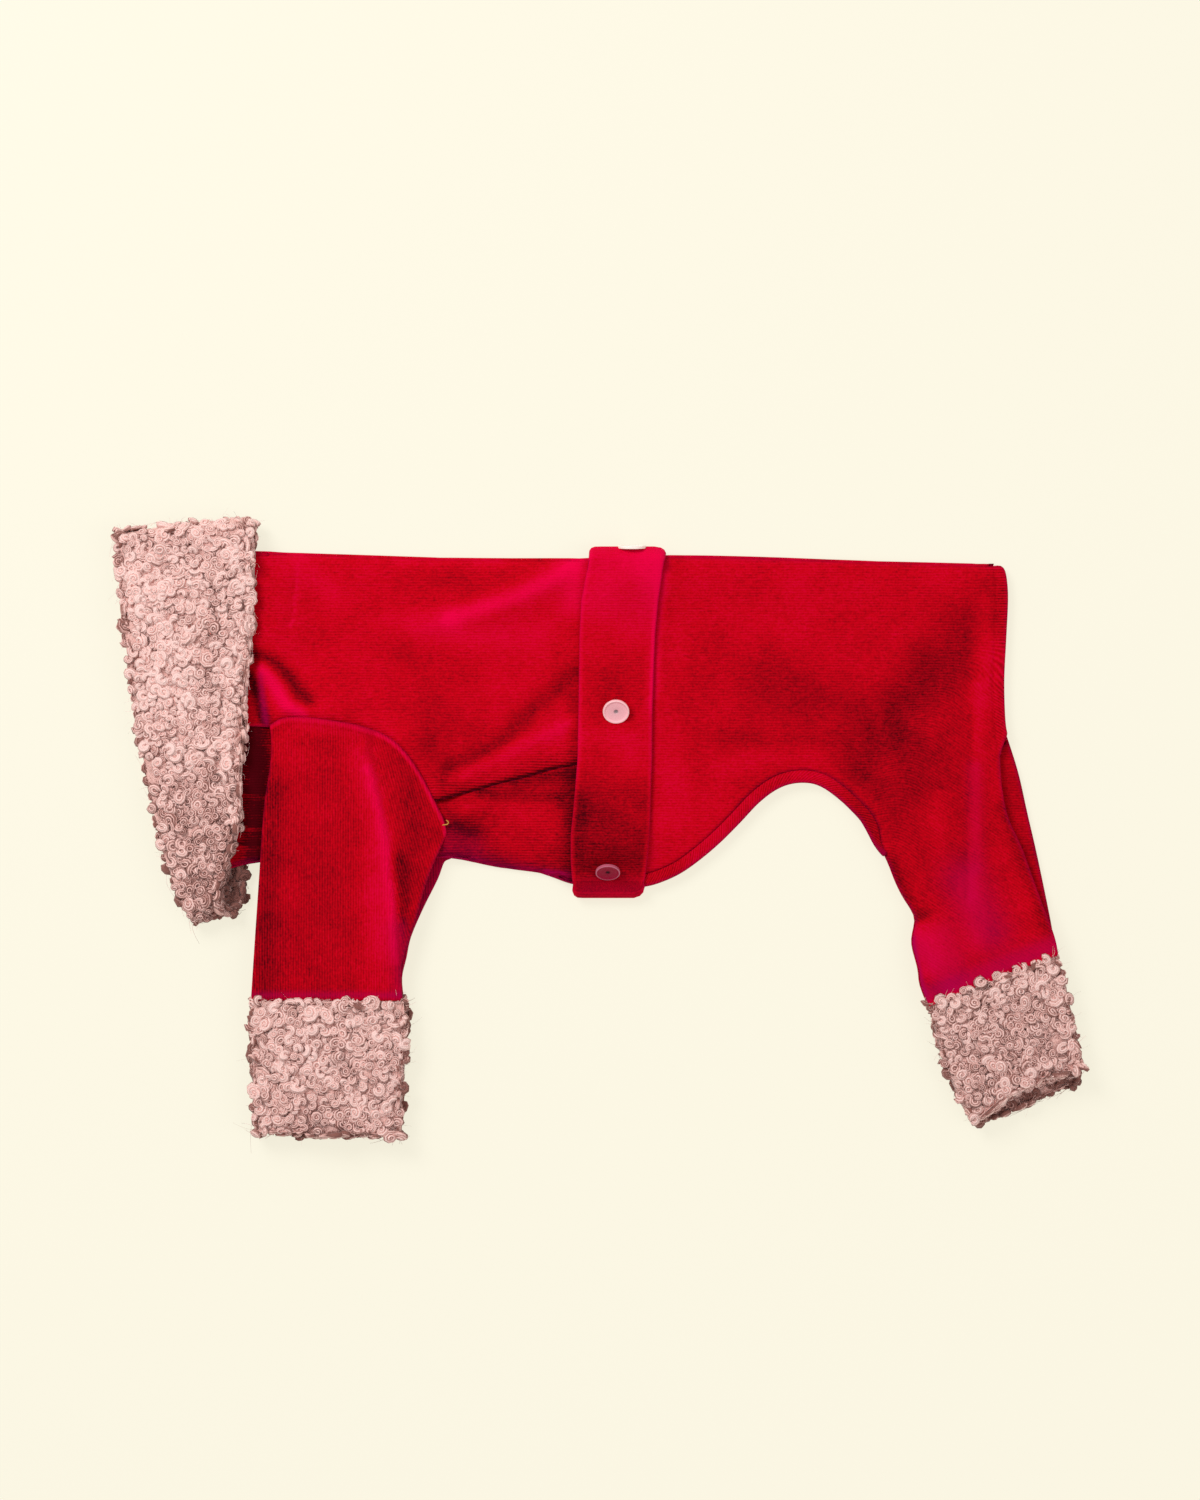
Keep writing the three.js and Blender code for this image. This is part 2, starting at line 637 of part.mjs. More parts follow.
function sew(name, geometry, material) {
  const mesh = new THREE.Mesh(geometry, material);
  mesh.name = name;
  garment.add(mesh);
  return mesh;
}

sew('back_panel', backPanel(), velour());
sew('belly_panel', bellyPanel(), velourShade());
sew('inner_leg_near', innerLeg(LEG_REAR_NEAR, 2, CUFF_NEAR - CUFF_LAYER), velourShade());
sew('inner_leg_far', innerLeg(LEG_REAR_FAR, 1, CUFF_FAR + CUFF_LAYER), velourShade());
sew('sleeve_near', sleeve(SLEEVE_REAR_NEAR, 10.1, CUFF_NEAR, 1.8), velour());
sew('sleeve_far', sleeve(SLEEVE_REAR_FAR, VELOUR + 0.2, CUFF_FAR, 0), velourShade());
sew('cuff_front_near', cuff(FRONT_CUFF, CUFF_NEAR), boucle());
sew('cuff_front_far', cuff(FRONT_CUFF, CUFF_FAR), boucle());
sew('cuff_hind_near', cuff(HIND_CUFF_NEAR, CUFF_NEAR), boucle());
sew('cuff_hind_far', cuff(HIND_CUFF_FAR, CUFF_FAR), boucle());
sew('collar', collarLoop(), boucle());
sew('belt', beltLoop(), velour());
sew('belly_hem_near', bellyHem((x, y) => nearHeight(x, y) + HEM_RISE), velour());
sew('belly_hem_far', bellyHem((x, y) => farHeight(x, y) + (HEM_WALL - VELOUR) / 2), velourShade());

// A cap on the face of the belt lies along it, and the one on the fold stands on its edge
function seatOnBelt(cap, x, y) {
  const [low, high] = [beltHeight(x, y - SNAP_RADIUS), beltHeight(x, y + SNAP_RADIUS)];
  const tilt = Math.atan2(high - low, 2 * SNAP_RADIUS);
  const middle = Math.max(beltHeight(x, y), (low + high) / 2);
  cap.position.set(x, y, middle + (VELOUR / 2 + 3 * GAP) / Math.cos(tilt));
  cap.rotation.x = tilt;
}

seatOnBelt(sew('snap_middle', snapCap(), resin()), 8, 58.8);
seatOnBelt(sew('snap_lower', snapCap(), resin()), 3.5, -20.6);
const topCap = sew('snap_top', snapCap(), resin());
topCap.position.set(16, 141.9, 8);
topCap.rotation.x = THREE.MathUtils.degToRad(-84);

garment.position.set(CENTRE_SHIFT.x, CENTRE_SHIFT.y, 0);

export default garment;
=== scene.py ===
# %% [markdown]
# # A small dog's onesie pajama, lying flat on its side
# The garment is red velour with a turned-over collar and four cuffs in pale pink boucle.
# It is folded along the centre of the back, so every part has a near half on top and a far half
# on the table. The measured model gives the solids. Here each one gets its real cloth.
# All lengths are written in millimetres, as on a paper pattern, and MM turns them into metres.

# %% Load the measured model
import math

import bmesh
import bpy
import numpy as np
from mathutils import Matrix, Vector, geometry
from mathutils.bvhtree import BVHTree


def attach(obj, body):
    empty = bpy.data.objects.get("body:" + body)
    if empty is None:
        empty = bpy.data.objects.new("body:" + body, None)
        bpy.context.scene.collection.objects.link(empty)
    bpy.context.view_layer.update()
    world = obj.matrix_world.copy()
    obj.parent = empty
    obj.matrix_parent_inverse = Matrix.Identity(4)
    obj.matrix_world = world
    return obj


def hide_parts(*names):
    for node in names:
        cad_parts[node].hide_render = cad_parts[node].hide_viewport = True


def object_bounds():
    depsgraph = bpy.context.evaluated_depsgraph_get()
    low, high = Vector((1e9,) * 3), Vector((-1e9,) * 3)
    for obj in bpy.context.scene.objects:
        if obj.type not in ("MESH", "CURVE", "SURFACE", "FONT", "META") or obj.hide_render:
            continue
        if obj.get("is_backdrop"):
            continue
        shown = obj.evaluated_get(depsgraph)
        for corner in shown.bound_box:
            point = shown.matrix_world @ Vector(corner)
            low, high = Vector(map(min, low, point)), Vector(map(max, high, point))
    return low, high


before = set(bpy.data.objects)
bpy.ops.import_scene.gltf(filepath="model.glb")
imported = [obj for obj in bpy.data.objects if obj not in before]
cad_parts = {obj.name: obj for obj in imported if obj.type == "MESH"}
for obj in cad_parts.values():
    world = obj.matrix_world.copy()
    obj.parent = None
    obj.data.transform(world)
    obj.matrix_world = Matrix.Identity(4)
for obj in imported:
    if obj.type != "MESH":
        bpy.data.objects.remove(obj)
cad_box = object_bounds()
bpy.ops.object.select_all(action="DESELECT")
print("measured nodes:", len(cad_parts))

# %% [markdown]
# ## Camera, table and light
# The picture was taken from straight above, so the camera looks down and nothing converges much.
# The table is a pale cream sheet that glows a little by itself. That keeps it even and lets only
# a faint shadow show, as on a light table. One large lamp stands at the upper left and a weaker
# one opposite, and the sky fills the rest, which is how soft studio light is made.

# %% Camera
MM = 0.001
PICTURE_HEIGHT = 1500
MM_PER_PIXEL = 0.5
VIEW_CENTRE = (0, 39.7)
CLOTH_LEVEL = 9
LENS, SENSOR = 85, 36

camera_data = bpy.data.cameras.new("photo_camera")
camera_data.lens, camera_data.sensor_width = LENS, SENSOR
camera = bpy.data.objects.new("photo_camera", camera_data)
camera_height = CLOTH_LEVEL + PICTURE_HEIGHT * MM_PER_PIXEL * LENS / SENSOR
camera.location = (VIEW_CENTRE[0] * MM, VIEW_CENTRE[1] * MM, camera_height * MM)
bpy.context.collection.objects.link(camera)
bpy.context.scene.camera = camera
bpy.context.scene.view_settings.view_transform = "Standard"
print("camera height in mm:", round(camera_height))


# %% Colours as seen on a screen
def screen(red, green, blue, alpha=1.0):
    """A colour picked on screen, turned into the linear values that shaders use."""
    parts = [channel / 255 for channel in (red, green, blue)]
    return (*(p / 12.92 if p <= 0.04045 else ((p + 0.055) / 1.055) ** 2.4 for p in parts), alpha)


# %% Shader sums in Python
class Wire:
    """A node's output that can be added, multiplied and mixed like a number."""

    def __init__(self, finish, socket):
        self.finish, self.socket = finish, socket

    def sum(self, operation, first, second=0.0):
        return self.finish.node("ShaderNodeMath", {"operation": operation}, {0: first, 1: second})

    def __add__(self, other):
        return self.sum("ADD", self, other)

    def __mul__(self, other):
        return self.sum("MULTIPLY", self, other)

    def __sub__(self, other):
        return self.sum("SUBTRACT", self, other)

    def sine(self):
        return self.sum("SINE", self)

    def held(self):
        """The value kept between 0 and 1."""
        return self.finish.node("ShaderNodeClamp", {}, {"Value": self})


class Finish:
    """A material and the nodes that are added to it."""

    def __init__(self, name):
        self.material = bpy.data.materials.new(name)
        self.material.use_nodes = True
        self.tree = self.material.node_tree
        self.tree.nodes.clear()

    def node(self, kind, settings, sockets, output=0):
        """Adds a node, sets it up, then fills its sockets with values or wires."""
        made = self.tree.nodes.new(kind)
        for name, value in settings.items():
            setattr(made, name, value)
        for place, value in sockets.items():
            if isinstance(value, Wire):
                self.tree.links.new(value.socket, made.inputs[place])
            else:
                made.inputs[place].default_value = value
        return Wire(self, made.outputs[output])

    def attribute(self, name):
        return self.node("ShaderNodeAttribute", {"attribute_name": name}, {}, "Fac")

    def noise(self, vector, scale, detail=2.0):
        return self.node("ShaderNodeTexNoise", {}, {"Vector": vector, "Scale": scale, "Detail": detail})

    def mix(self, share, first, second):
        """Colours A and B in the share given."""
        settings = {"data_type": "RGBA"}
        return self.node("ShaderNodeMix", settings, {0: share, 6: first, 7: second}, 2)

    def surface(self, colour, relief, strength, depth, settings):
        """The main shader with its colour and a bump, whose depth is in millimetres."""
        bump_sockets = {"Strength": strength, "Distance": depth * MM, "Height": relief}
        bump = self.node("ShaderNodeBump", {}, bump_sockets, "Normal")
        sockets = {"Base Color": colour, "Normal": bump, **settings}
        return self.end(self.node("ShaderNodeBsdfPrincipled", {}, sockets))

    def end(self, shader):
        output = self.tree.nodes.new("ShaderNodeOutputMaterial")
        self.tree.links.new(shader.socket, output.inputs["Surface"])
        return self.material


# %% Table and light
TABLE_COLOUR = screen(255, 250, 230)
SKY_STRENGTH = 0.5
KEY_LAMP = {"place": (-950, 1050, 1500), "size": 900, "power": 27}
FILL_LAMP = {"place": (1100, -500, 1500), "size": 1300, "power": 7.5}


def table_finish():
    finish = Finish("table")
    glow = finish.node("ShaderNodeEmission", {}, {"Color": TABLE_COLOUR, "Strength": 0.97})
    paint = finish.node("ShaderNodeBsdfDiffuse", {}, {"Color": screen(250, 246, 232)})
    return finish.end(finish.node("ShaderNodeMixShader", {}, {0: 0.18, 1: glow, 2: paint}))


def add_lamp(name, place, size, power):
    lamp = bpy.data.lights.new(name, "AREA")
    lamp.size, lamp.energy = size * MM, power
    stand = bpy.data.objects.new(name, lamp)
    stand.location = Vector(place) * MM
    stand.rotation_euler = (-stand.location).to_track_quat("-Z", "Y").to_euler()
    bpy.context.collection.objects.link(stand)


bpy.ops.mesh.primitive_plane_add(size=12)
table_top = bpy.context.object
table_top.name = "table_top"
table_top.data.materials.append(table_finish())
table_top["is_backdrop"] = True
add_lamp("key_lamp", **KEY_LAMP)
add_lamp("fill_lamp", **FILL_LAMP)
sky = bpy.data.worlds.new("studio")
sky.use_nodes = True
sky.node_tree.nodes["Background"].inputs["Color"].default_value = (1, 0.985, 0.96, 1)
sky.node_tree.nodes["Background"].inputs["Strength"].default_value = SKY_STRENGTH
bpy.context.scene.world = sky

# %% [markdown]
# ## The paper pattern
# A garment starts as outlines on paper. Each table below is one edge, seen from above, with the
# columns x and y. Only the points that shape the edge are listed. A smooth line through them
# gives the rest. The same tables made the measured solids, so the cloth lands on them.

# %% Outlines
BACK_FOLD = [
    (-206, 139.4), (-150, 138.2), (-80, 135.8), (-10, 135.3), (34, 137), (80, 136.3), (140, 134),
    (190, 132.8), (196, 132.7),
]
TAIL_EDGE = [
    (198.5, 131.4), (202, 130.6), (203.7, 126), (204.5, 114), (203.5, 94), (202.5, 74), (203, 54),
    (204, 47),
]
LEG_REAR_NEAR = [
    (204, 47), (200.5, 38), (200, 30), (203.4, 8), (211.6, -11), (220, -35), (226.4, -53), (228.5, -63),
]
LEG_REAR_FAR = [(204, 47), (210, 28), (214.5, 8), (220, -16), (226, -46), (228.6, -62.6)]
LEG_FRONT = [
    (164.1, -88.6), (160.3, -78.5), (159.3, -70.5), (156.4, -59), (156.6, -53.5), (157.9, -46.2),
    (156.2, -41.2), (152, -34.6), (148.3, -27.2), (145, -18.7), (142.6, -13.4),
]
BELLY_OPENING = [
    (142.6, -13.4), (139.8, -10.3), (137, -6.4), (132.8, 1.1), (129.5, 5.8), (120, 15), (110, 21.7),
    (100, 23.2), (90, 20.7), (80, 13.7), (70, 3.2), (60, -6.8), (50, -15.3), (40, -22.3), (30, -26.8),
    (22.5, -28.8), (8, -30.7),
]
SIDE_SEAM = [(6, 34), (-11, 32.2), (-25, 29.6), (-40, 25.2), (-54, 21.6), (-67, 18), (-82, 14)]
# the dark line along it, just above the seam, is painted shade in the crease
SIDE_SEAM_SHADE = [(-11, 32.4), (-25, 29.8), (-40, 25.4), (-54, 21.8), (-67, 18.2), (-82, 14.2)]
SLEEVE_HEAD = [
    (-76.6, -3.2), (-77.5, 3.3), (-82.5, 13.8), (-89, 26.3), (-96.5, 37.8), (-106, 46.3),
    (-120.5, 51.8), (-134, 54.3), (-145.5, 55.8), (-158, 55.6), (-165.4, 51.6),
]
BELLY_FOLD = [
    (-192, -22.5), (-169, -16.8), (-120, -16), (-76.5, -14.8), (-50, -19.8), (-30, -22.4), (-14, -28),
    (5.6, -30),
]
UNDERARM = [(-84, 10), (-98, 5), (-120, 3), (-145, 10), (-158, 28), (-166.8, 51.4)]
SLEEVE_FRONT = [
    (-165.4, 51.6), (-164.2, 40), (-165.2, 28), (-167.4, 14), (-169, -4), (-170, -20), (-174.2, -85.7),
]
SLEEVE_REAR_NEAR = [
    (-76.6, -3.2), (-79.6, -9), (-83.3, -17), (-87.5, -28.3), (-92.7, -46.3), (-98.7, -65.8),
    (-99.6, -75), (-98.3, -85.7),
]
SLEEVE_REAR_FAR = [
    (-76.6, -3.2), (-74, -14), (-78.5, -17.2), (-81.9, -26), (-89, -40.3), (-95, -54.5), (-97.2, -65),
    (-99.3, -75), (-98.3, -85.7),
]
SLEEVE_CREASE = [
    (-117, 46.3), (-110, 9.2), (-107.3, -5.7), (-105.8, -20.7), (-104, -32.7), (-102.5, -50.7),
    (-101, -65.7), (-98.5, -84.3),
]
TAIL_GROOVE = [(197.6, 131), (198.5, 114), (198, 94), (197, 74), (197.4, 54), (199.3, 38), (201.6, 24)]

# %% Belt and collar edges
# columns y, left, right
BELT_EDGES = [
    (142, -4.5, 32.6), (130, -6, 31.2), (114, -9, 28.9), (97, -10, 27.4), (60, -10.5, 26),
    (35, -11, 25.8), (10, -13, 25), (-3, -14.2, 24.4), (-16, -14.3, 23.2), (-28, -13.6, 22),
    (-36, -13, 21.6),
]
COLLAR_NEAR_RIGHT = [
    (156, -170), (114, -170), (84, -172), (54, -174), (34, -176.5), (-1, -178), (-16, -184),
    (-30, -189), (-44, -188),
]
COLLAR_FAR_RIGHT = [(156, -171), (54, -175), (-1, -178), (-20, -176), (-36, -176), (-46, -186)]

# %% Cloth thicknesses and rest heights
VELOUR = 1.6
HEM_WIDTH = 5.5
HEM_WALL = 2
HEM_RISE = 0.6
SEAM_GAP = 0.3
FOLD_RADIUS = 0.95
FAR_REST = VELOUR / 2
LAYER = VELOUR + SEAM_GAP
BODY_REST = 4.8
NECK_FAR, NECK_NEAR = 8.1, 10
CUFF_HEIGHT = 8.2
CUFF_FAR = CUFF_HEIGHT / 2
CUFF_NEAR = 1.5 * CUFF_HEIGHT + SEAM_GAP
CUFF_LAYER = 1.3
BELT_CLEAR = 3.1
CENTRE_SHIFT = (0, 0.45, 0)

# %% [markdown]
# ## Where the cloth lifts and sinks
# Velour is soft and heavy, so it drapes in a few broad swells and shallow folds and makes hardly
# a sharp crease. Each row places one: round swells by their middle and reach, and folds
# by the line they run along. A negative rise is a trough. The last table holds the small ones
# that only a close look shows, such as the puckers beside a seam.

# %% Swells and folds
# columns x, y, reach along x, reach along y, rise
SWELLS = [
    (16, 126, 30, 18, 5.2), (4, -6, 24, 11.5, 8.4), (-40, 70, 46, 40, 1.4), (95, 70, 50, 40, 1.5),
    (176, 30, 22, 60, 1.6), (-66, -2, 9, 8, -1.2),
]
# columns reach, rise, and the ends of the fold
FOLDS = [
    (20, 4.0, (-163, 56), (-134, 58)), (20, 3.85, (-134, 58), (-98, 42)),
    (17, 3.4, (-98, 42), (-80, 10)), (9, 0.9, (-165, 80), (-160, 62)),
    (11, 1.04, (-18, 134), (-50, 112)), (12, 0.8, (-50, 112), (-110, 100)),
    (9, 1.1, (-78, 18), (-12, 37)), (13, -1.2, (186, 106), (128, 32)),
]
# columns reach, rise, and the points that the fold runs through
SMALL_FOLDS = [
    (6, 0.9, (-10, 135), (-28, 121), (-52, 109), (-88, 102)),
    (2.2, -0.35, (-149, 137), (-154, 106), (-160, 92)),
    (3.4, -1.5, (-174, 87), (-166, 84), (-159.5, 80.5), (-154.5, 75), (-151, 69), (-146, 64)),
    (4, 1.9, (-168, 79), (-162, 75), (-158, 69), (-155, 61)), (3, 0.9, (-153, 60), (-138, 57)),
    (2.5, -1.2, (-175, 76), (-172.5, 66), (-171, 56)), (4, 0.9, (-76, 22), (-48, 37), (-14, 53)),
    (4, -0.8, (-76, 31), (-54, 41), (-31, 64), (-12, 79)), (7, 0.7, (-40, 66), (-12, 88)),
    (1.7, 0.5, (-78, 15.5), (-50, 24), (-16, 33.5)), (3, 0.5, (29, 84), (34, 62)),
    (3, -0.4, (33, 92), (38, 72)), (7.5, -1.0, (192, 110), (168, 82), (146, 52), (131, 34)),
    (4.5, 1.2, (188, 44), (189, -12), (193, -60)), (2.5, -0.7, (183, 6), (186, -40)),
    (8, 1.0, (160, -50), (176, -70)), (9, -0.5, (70, 92), (84, 84)), (2.5, 0.3, (120, 24), (134, 12)),
]
BELLY_FOLDS = [
    (5, -1.3, (-70, -2), (-60, -6)), (9, 1.2, (-48, 14), (-22, 0)), (3, 0.8, (-76, 4), (-58, 10)),
    (4, -0.6, (-64, 6), (-40, 18)), (5, -0.8, (-30, 24), (-13, 20)), (4, -0.5, (-40, -14), (-16, -22)),
    (1.4, -1.1, (-184, 19), (-168, 16)), (1.2, -0.9, (-184, 8), (-168, 7)),
    (1.2, -0.9, (-184, -2), (-168, -3)), (1.2, -0.8, (-184, -9), (-168, -10)),
]


# %% Reading lines
def soften(share):
    held = np.clip(share, 0, 1)
    return held * held * (3 - 2 * held)


def look_up(rows, at, column=1):
    ordered = np.array(sorted(rows), float)
    return np.interp(at, ordered[:, 0], ordered[:, column])


def smooth_line(points, steps=4):
    """A Catmull-Rom line through the points of an edge."""
    knots = np.array([points[0], *points, points[-1]], float)
    t = np.linspace(0, 1, steps, endpoint=False)[:, None]
    spans = []
    for a, b, c, d in zip(knots, knots[1:], knots[2:], knots[3:]):
        bend = t**2 * (a - 2.5 * b + 2 * c - 0.5 * d) + t**3 * (1.5 * (b - c) + 0.5 * (d - a))
        spans.append(b + 0.5 * t * (c - a) + bend)
    return np.vstack([*spans, knots[-1:]])


def along(line, share):
    """Points at the given shares of a line's length."""
    steps = np.linalg.norm(np.diff(line, axis=0), axis=1)
    length = np.concatenate([[0], np.cumsum(steps)])
    at = np.asarray(share) * length[-1]
    return np.stack([np.interp(at, length, line[:, 0]), np.interp(at, length, line[:, 1])], -1)


def even_line(line, step):
    length = np.linalg.norm(np.diff(line, axis=0), axis=1).sum()
    return along(line, np.linspace(0, 1, max(1, round(length / step)) + 1))


def shifted(line, distance):
    """A line moved to its right by the distance."""
    ahead = np.gradient(np.asarray(line, float), axis=0)
    ahead /= np.linalg.norm(ahead, axis=1)[:, None]
    return line + np.stack([ahead[:, 1], -ahead[:, 0]], -1) * distance


def distance_to(points, line):
    """Distance of each point from a line of short straight stretches."""
    nearest = np.full(len(points), 1e9)
    for a, b in zip(line, line[1:]):
        run = b - a
        share = np.clip(((points - a) @ run) / max(run @ run, 1e-9), 0, 1)
        nearest = np.minimum(nearest, np.linalg.norm(points - a - share[:, None] * run, axis=1))
    return nearest


def strokes(points, rows):
    """What the rows of a table add at each point: height for folds, lean for the pile."""
    total = np.zeros(len(points))
    for reach, rise, *run in rows:
        away = distance_to(points[:, :2], np.array(run, float))
        total += rise * np.exp(-((away / reach) ** 2))
    return total


# %% Heights of the layers
def swell(x, y):
    total = strokes(np.stack([x, y], -1), FOLDS)
    for middle_x, middle_y, reach_x, reach_y, rise in SWELLS:
        total += rise * np.exp(-(((x - middle_x) / reach_x) ** 2) - ((y - middle_y) / reach_y) ** 2)
    return total


def blend(first, second, share):
    return first + (second - first) * share


def neck_share(x, y, width):
    collar_end = np.maximum(look_up(COLLAR_NEAR_RIGHT, y), look_up(COLLAR_FAR_RIGHT, y))
    return 1 - soften((x - collar_end - 2) / width)


def cuff_share(x, y):
    down = (x - 163) * 0.369 - (y + 85.8) * 0.929
    return np.where(x > 130, soften((46 + down) / 46), 0)


def near_height(x, y):
    leg = soften((x - 120) / 30) * soften((64 - y) / 30)
    rest = blend(BODY_REST, FAR_REST + 3 * LAYER + 0.6, leg)
    free = blend(rest + swell(x, y), NECK_NEAR, neck_share(x, y, 30))
    return blend(free, CUFF_NEAR + CUFF_LAYER, cuff_share(x, y))


def far_height(x, y):
    belt = soften((x + 26) / 8) * soften((44 - x) / 8)
    lifted = blend(FAR_REST + LAYER * belt, NECK_FAR, neck_share(x, y, 12))
    return blend(lifted, CUFF_FAR - CUFF_LAYER, cuff_share(x, y))


def rounded(near, far, distance, reach):
    """Beside a fold the near cloth rounds down until it runs into the far cloth."""
    meeting = far + 2 * FOLD_RADIUS
    share = np.clip(distance / reach, 0, 1)
    return meeting + (near - meeting) * np.sqrt(1 - (1 - share) ** 2)


def back_line(x):
    return look_up(BACK_FOLD, x)


def belly_line(x):
    return look_up(BELLY_FOLD, x)


# %% [markdown]
# ## Velour
# Velour is a knit with a short dense pile. It has fine ribs a little over a millimetre apart, it
# looks deep red where the pile leans away and pink to magenta where it leans towards the light,
# and purple where its edges are seen through. Here these tones are painted: deep red also as
# painted shade in creases, hollows and on cloth that lies low or underneath, pink and magenta
# as painted highlights and sheen on ridges, and purple as a painted sheen along the edges.
# Three numbers are stored on each cloth: the first says how the pile leans, together with that
# painted light and shade, the second where the painted purple sheen shows, and ribbed how
# plainly the ribs show. Ribs follow the cloth's own map, which is laid out in millimetres. The
# shader adds a sheen of its own as well.

# %% Velour finish
RIB_SPACING = 1.3
# deep crimson is painted shade as well as pile that leans away, magenta is painted highlight and sheen,
# purple is the painted sheen along edges
CRIMSON = screen(194, 0, 20)
DEEP_CRIMSON = screen(74, 0, 9)
MAGENTA = screen(224, 0, 62)
PURPLE = screen(166, 0, 72)
PILE_SCALE = 900
CLOUD_SCALE = 55
HEATHER_DRAWN = (0.22, 0.95, 1)


def velour_finish(name, painted_shade=0.0):
    finish = Finish(name)
    nap_and_light = finish.attribute("nap_and_light")
    painted_sheen = finish.attribute("painted_sheen")
    ribbed = finish.attribute("ribbed")
    place = finish.node("ShaderNodeTexCoord", {}, {}, "Object")
    pile = finish.noise(place, PILE_SCALE, 2.0)
    cloud = finish.noise(place, CLOUD_SCALE, 3.0)
    cloth_map = finish.node("ShaderNodeUVMap", {"uv_map": "cloth"}, {})
    stretch = {0: cloth_map, 1: HEATHER_DRAWN}
    drawn_out = finish.node("ShaderNodeVectorMath", {"operation": "MULTIPLY"}, stretch)
    heather = finish.noise(drawn_out, 1.0, 2.0)
    across = finish.node("ShaderNodeSeparateXYZ", {}, {0: cloth_map}, "Y")
    rib = (across * (2 * math.pi / RIB_SPACING) + heather * 3.0).sine()
    texture = pile - 0.5 + (heather - 0.5) * 0.8 + rib * ribbed * 0.22
    lean = nap_and_light + (cloud - 0.5) * 0.7 + texture - painted_shade
    # below zero the colour goes to deep crimson, painted shade, above zero to magenta, painted
    # highlight, and the purple of the painted sheen is mixed in last
    red = finish.mix((lean * -1).held(), CRIMSON, DEEP_CRIMSON)
    pink = finish.mix(lean.held(), red, MAGENTA)
    colour = finish.mix(painted_sheen.held(), pink, PURPLE)
    relief = rib * ribbed * 0.6 + pile * 1.2 + heather * 0.6
    return finish.surface(colour, relief, 0.6, 0.3, {
        "Roughness": 0.9, "Specular IOR Level": 0.04, "Sheen Weight": 0.3,
        "Sheen Roughness": 0.35, "Sheen Tint": (1.0, 0.01, 0.15, 1),
    })


VELOUR_FINISH = velour_finish("velour")
# the same velour painted darker, as painted shade, for cloth that lies low or underneath
VELOUR_SHADE = velour_finish("velour_in_shade", 0.35)

# %% [markdown]
# ## Making a sheet of cloth
# A sheet could be a grid, but these outlines curve too much for one. So the outline is filled
# with evenly spread points, with closer rows beside the edges where the cloth dips into its
# seams, and the points are joined into triangles. Heights come afterwards, and last the
# Solidify modifier gives the cloth its real thickness.


# %% Points inside an outline
def inside(points, outline):
    x, y = points[:, 0], points[:, 1]
    found = np.zeros(len(points), bool)
    for (ax, ay), (bx, by) in zip(outline, np.roll(outline, -1, axis=0)):
        if ay != by:
            found ^= ((ay > y) != (by > y)) & (x < (bx - ax) * (y - ay) / (by - ay) + ax)
    return found


def doubled_area(outline):
    """Twice the area of an outline, above zero where it runs anticlockwise."""
    x, y = outline.T
    return np.sum(x * np.roll(y, -1) - y * np.roll(x, -1))


def spread_points(outline, spacing, edge_rows, lines):
    """Points between the outline's edge rows, and rows along the lines given."""
    closed = np.vstack([outline, outline[:1]])
    kept = []
    for depth in edge_rows:
        row = np.vstack([shifted(closed[:-1], depth), shifted(closed[:-1], -depth)])
        row = row[inside(row, outline)]
        kept.append(row[distance_to(row, closed) > 0.93 * depth])
    for line in lines:
        for offset in (-0.9, 0, 0.9):
            row = shifted(even_line(line, 1.2), offset)
            row = row[inside(row, outline)]
            kept.append(row[distance_to(row, closed) > 0.5])
    low, high = outline.min(0), outline.max(0)
    rows = np.arange(low[1], high[1], spacing * 0.866)
    columns = np.arange(low[0], high[0], spacing)
    grid = np.array([(x + (i % 2) * spacing / 2, y) for i, y in enumerate(rows) for x in columns])
    grid = grid[inside(grid, outline)]
    grid = grid[distance_to(grid, closed) > max([0, *edge_rows]) + 0.55 * spacing]
    for line in lines:
        grid = grid[distance_to(grid, even_line(line, 3)) > 1.6]
    return np.vstack([*kept, grid])


def thinned(points, fixed, closest):
    """The points that keep their distance from each other and from the fixed ones."""
    taken = {}
    chosen = []

    def near_by(p):
        cell = (int(p[0] // closest), int(p[1] // closest))
        around = [(cell[0] + i, cell[1] + j) for i in (-1, 0, 1) for j in (-1, 0, 1)]
        others = (q for c in around for q in taken.get(c, ()))
        return cell, any((p[0] - q[0]) ** 2 + (p[1] - q[1]) ** 2 < closest**2 for q in others)

    for p in fixed:
        taken.setdefault(near_by(p)[0], []).append(p)
    for p in points:
        cell, crowded = near_by(p)
        if not crowded:
            taken.setdefault(cell, []).append(p)
            chosen.append(p)
    return np.array(chosen)


def filled(outline, spacing, edge_rows=(0.8, 2.0, 3.4), lines=()):
    """Points and upward triangles that fill an outline. The outline's own points come first."""
    inner = thinned(spread_points(outline, spacing, edge_rows, lines), outline, 0.45)
    points = np.vstack([outline, inner])
    ring = list(range(len(outline)))
    face = ring if doubled_area(outline) > 0 else ring[::-1]
    result = geometry.delaunay_2d_cdt([Vector(p) for p in points], [], [face], 1, 1e-6)
    made = np.array([tuple(p) for p in result[0]])
    triangles = np.array([tuple(t) for t in result[2] if len(t) == 3])
    a, b, c = made[triangles[:, 0]], made[triangles[:, 1]], made[triangles[:, 2]]
    facing = (b - a)[:, 0] * (c - a)[:, 1] - (b - a)[:, 1] * (c - a)[:, 0]
    triangles[facing < 0] = triangles[facing < 0][:, ::-1]
    return made, triangles


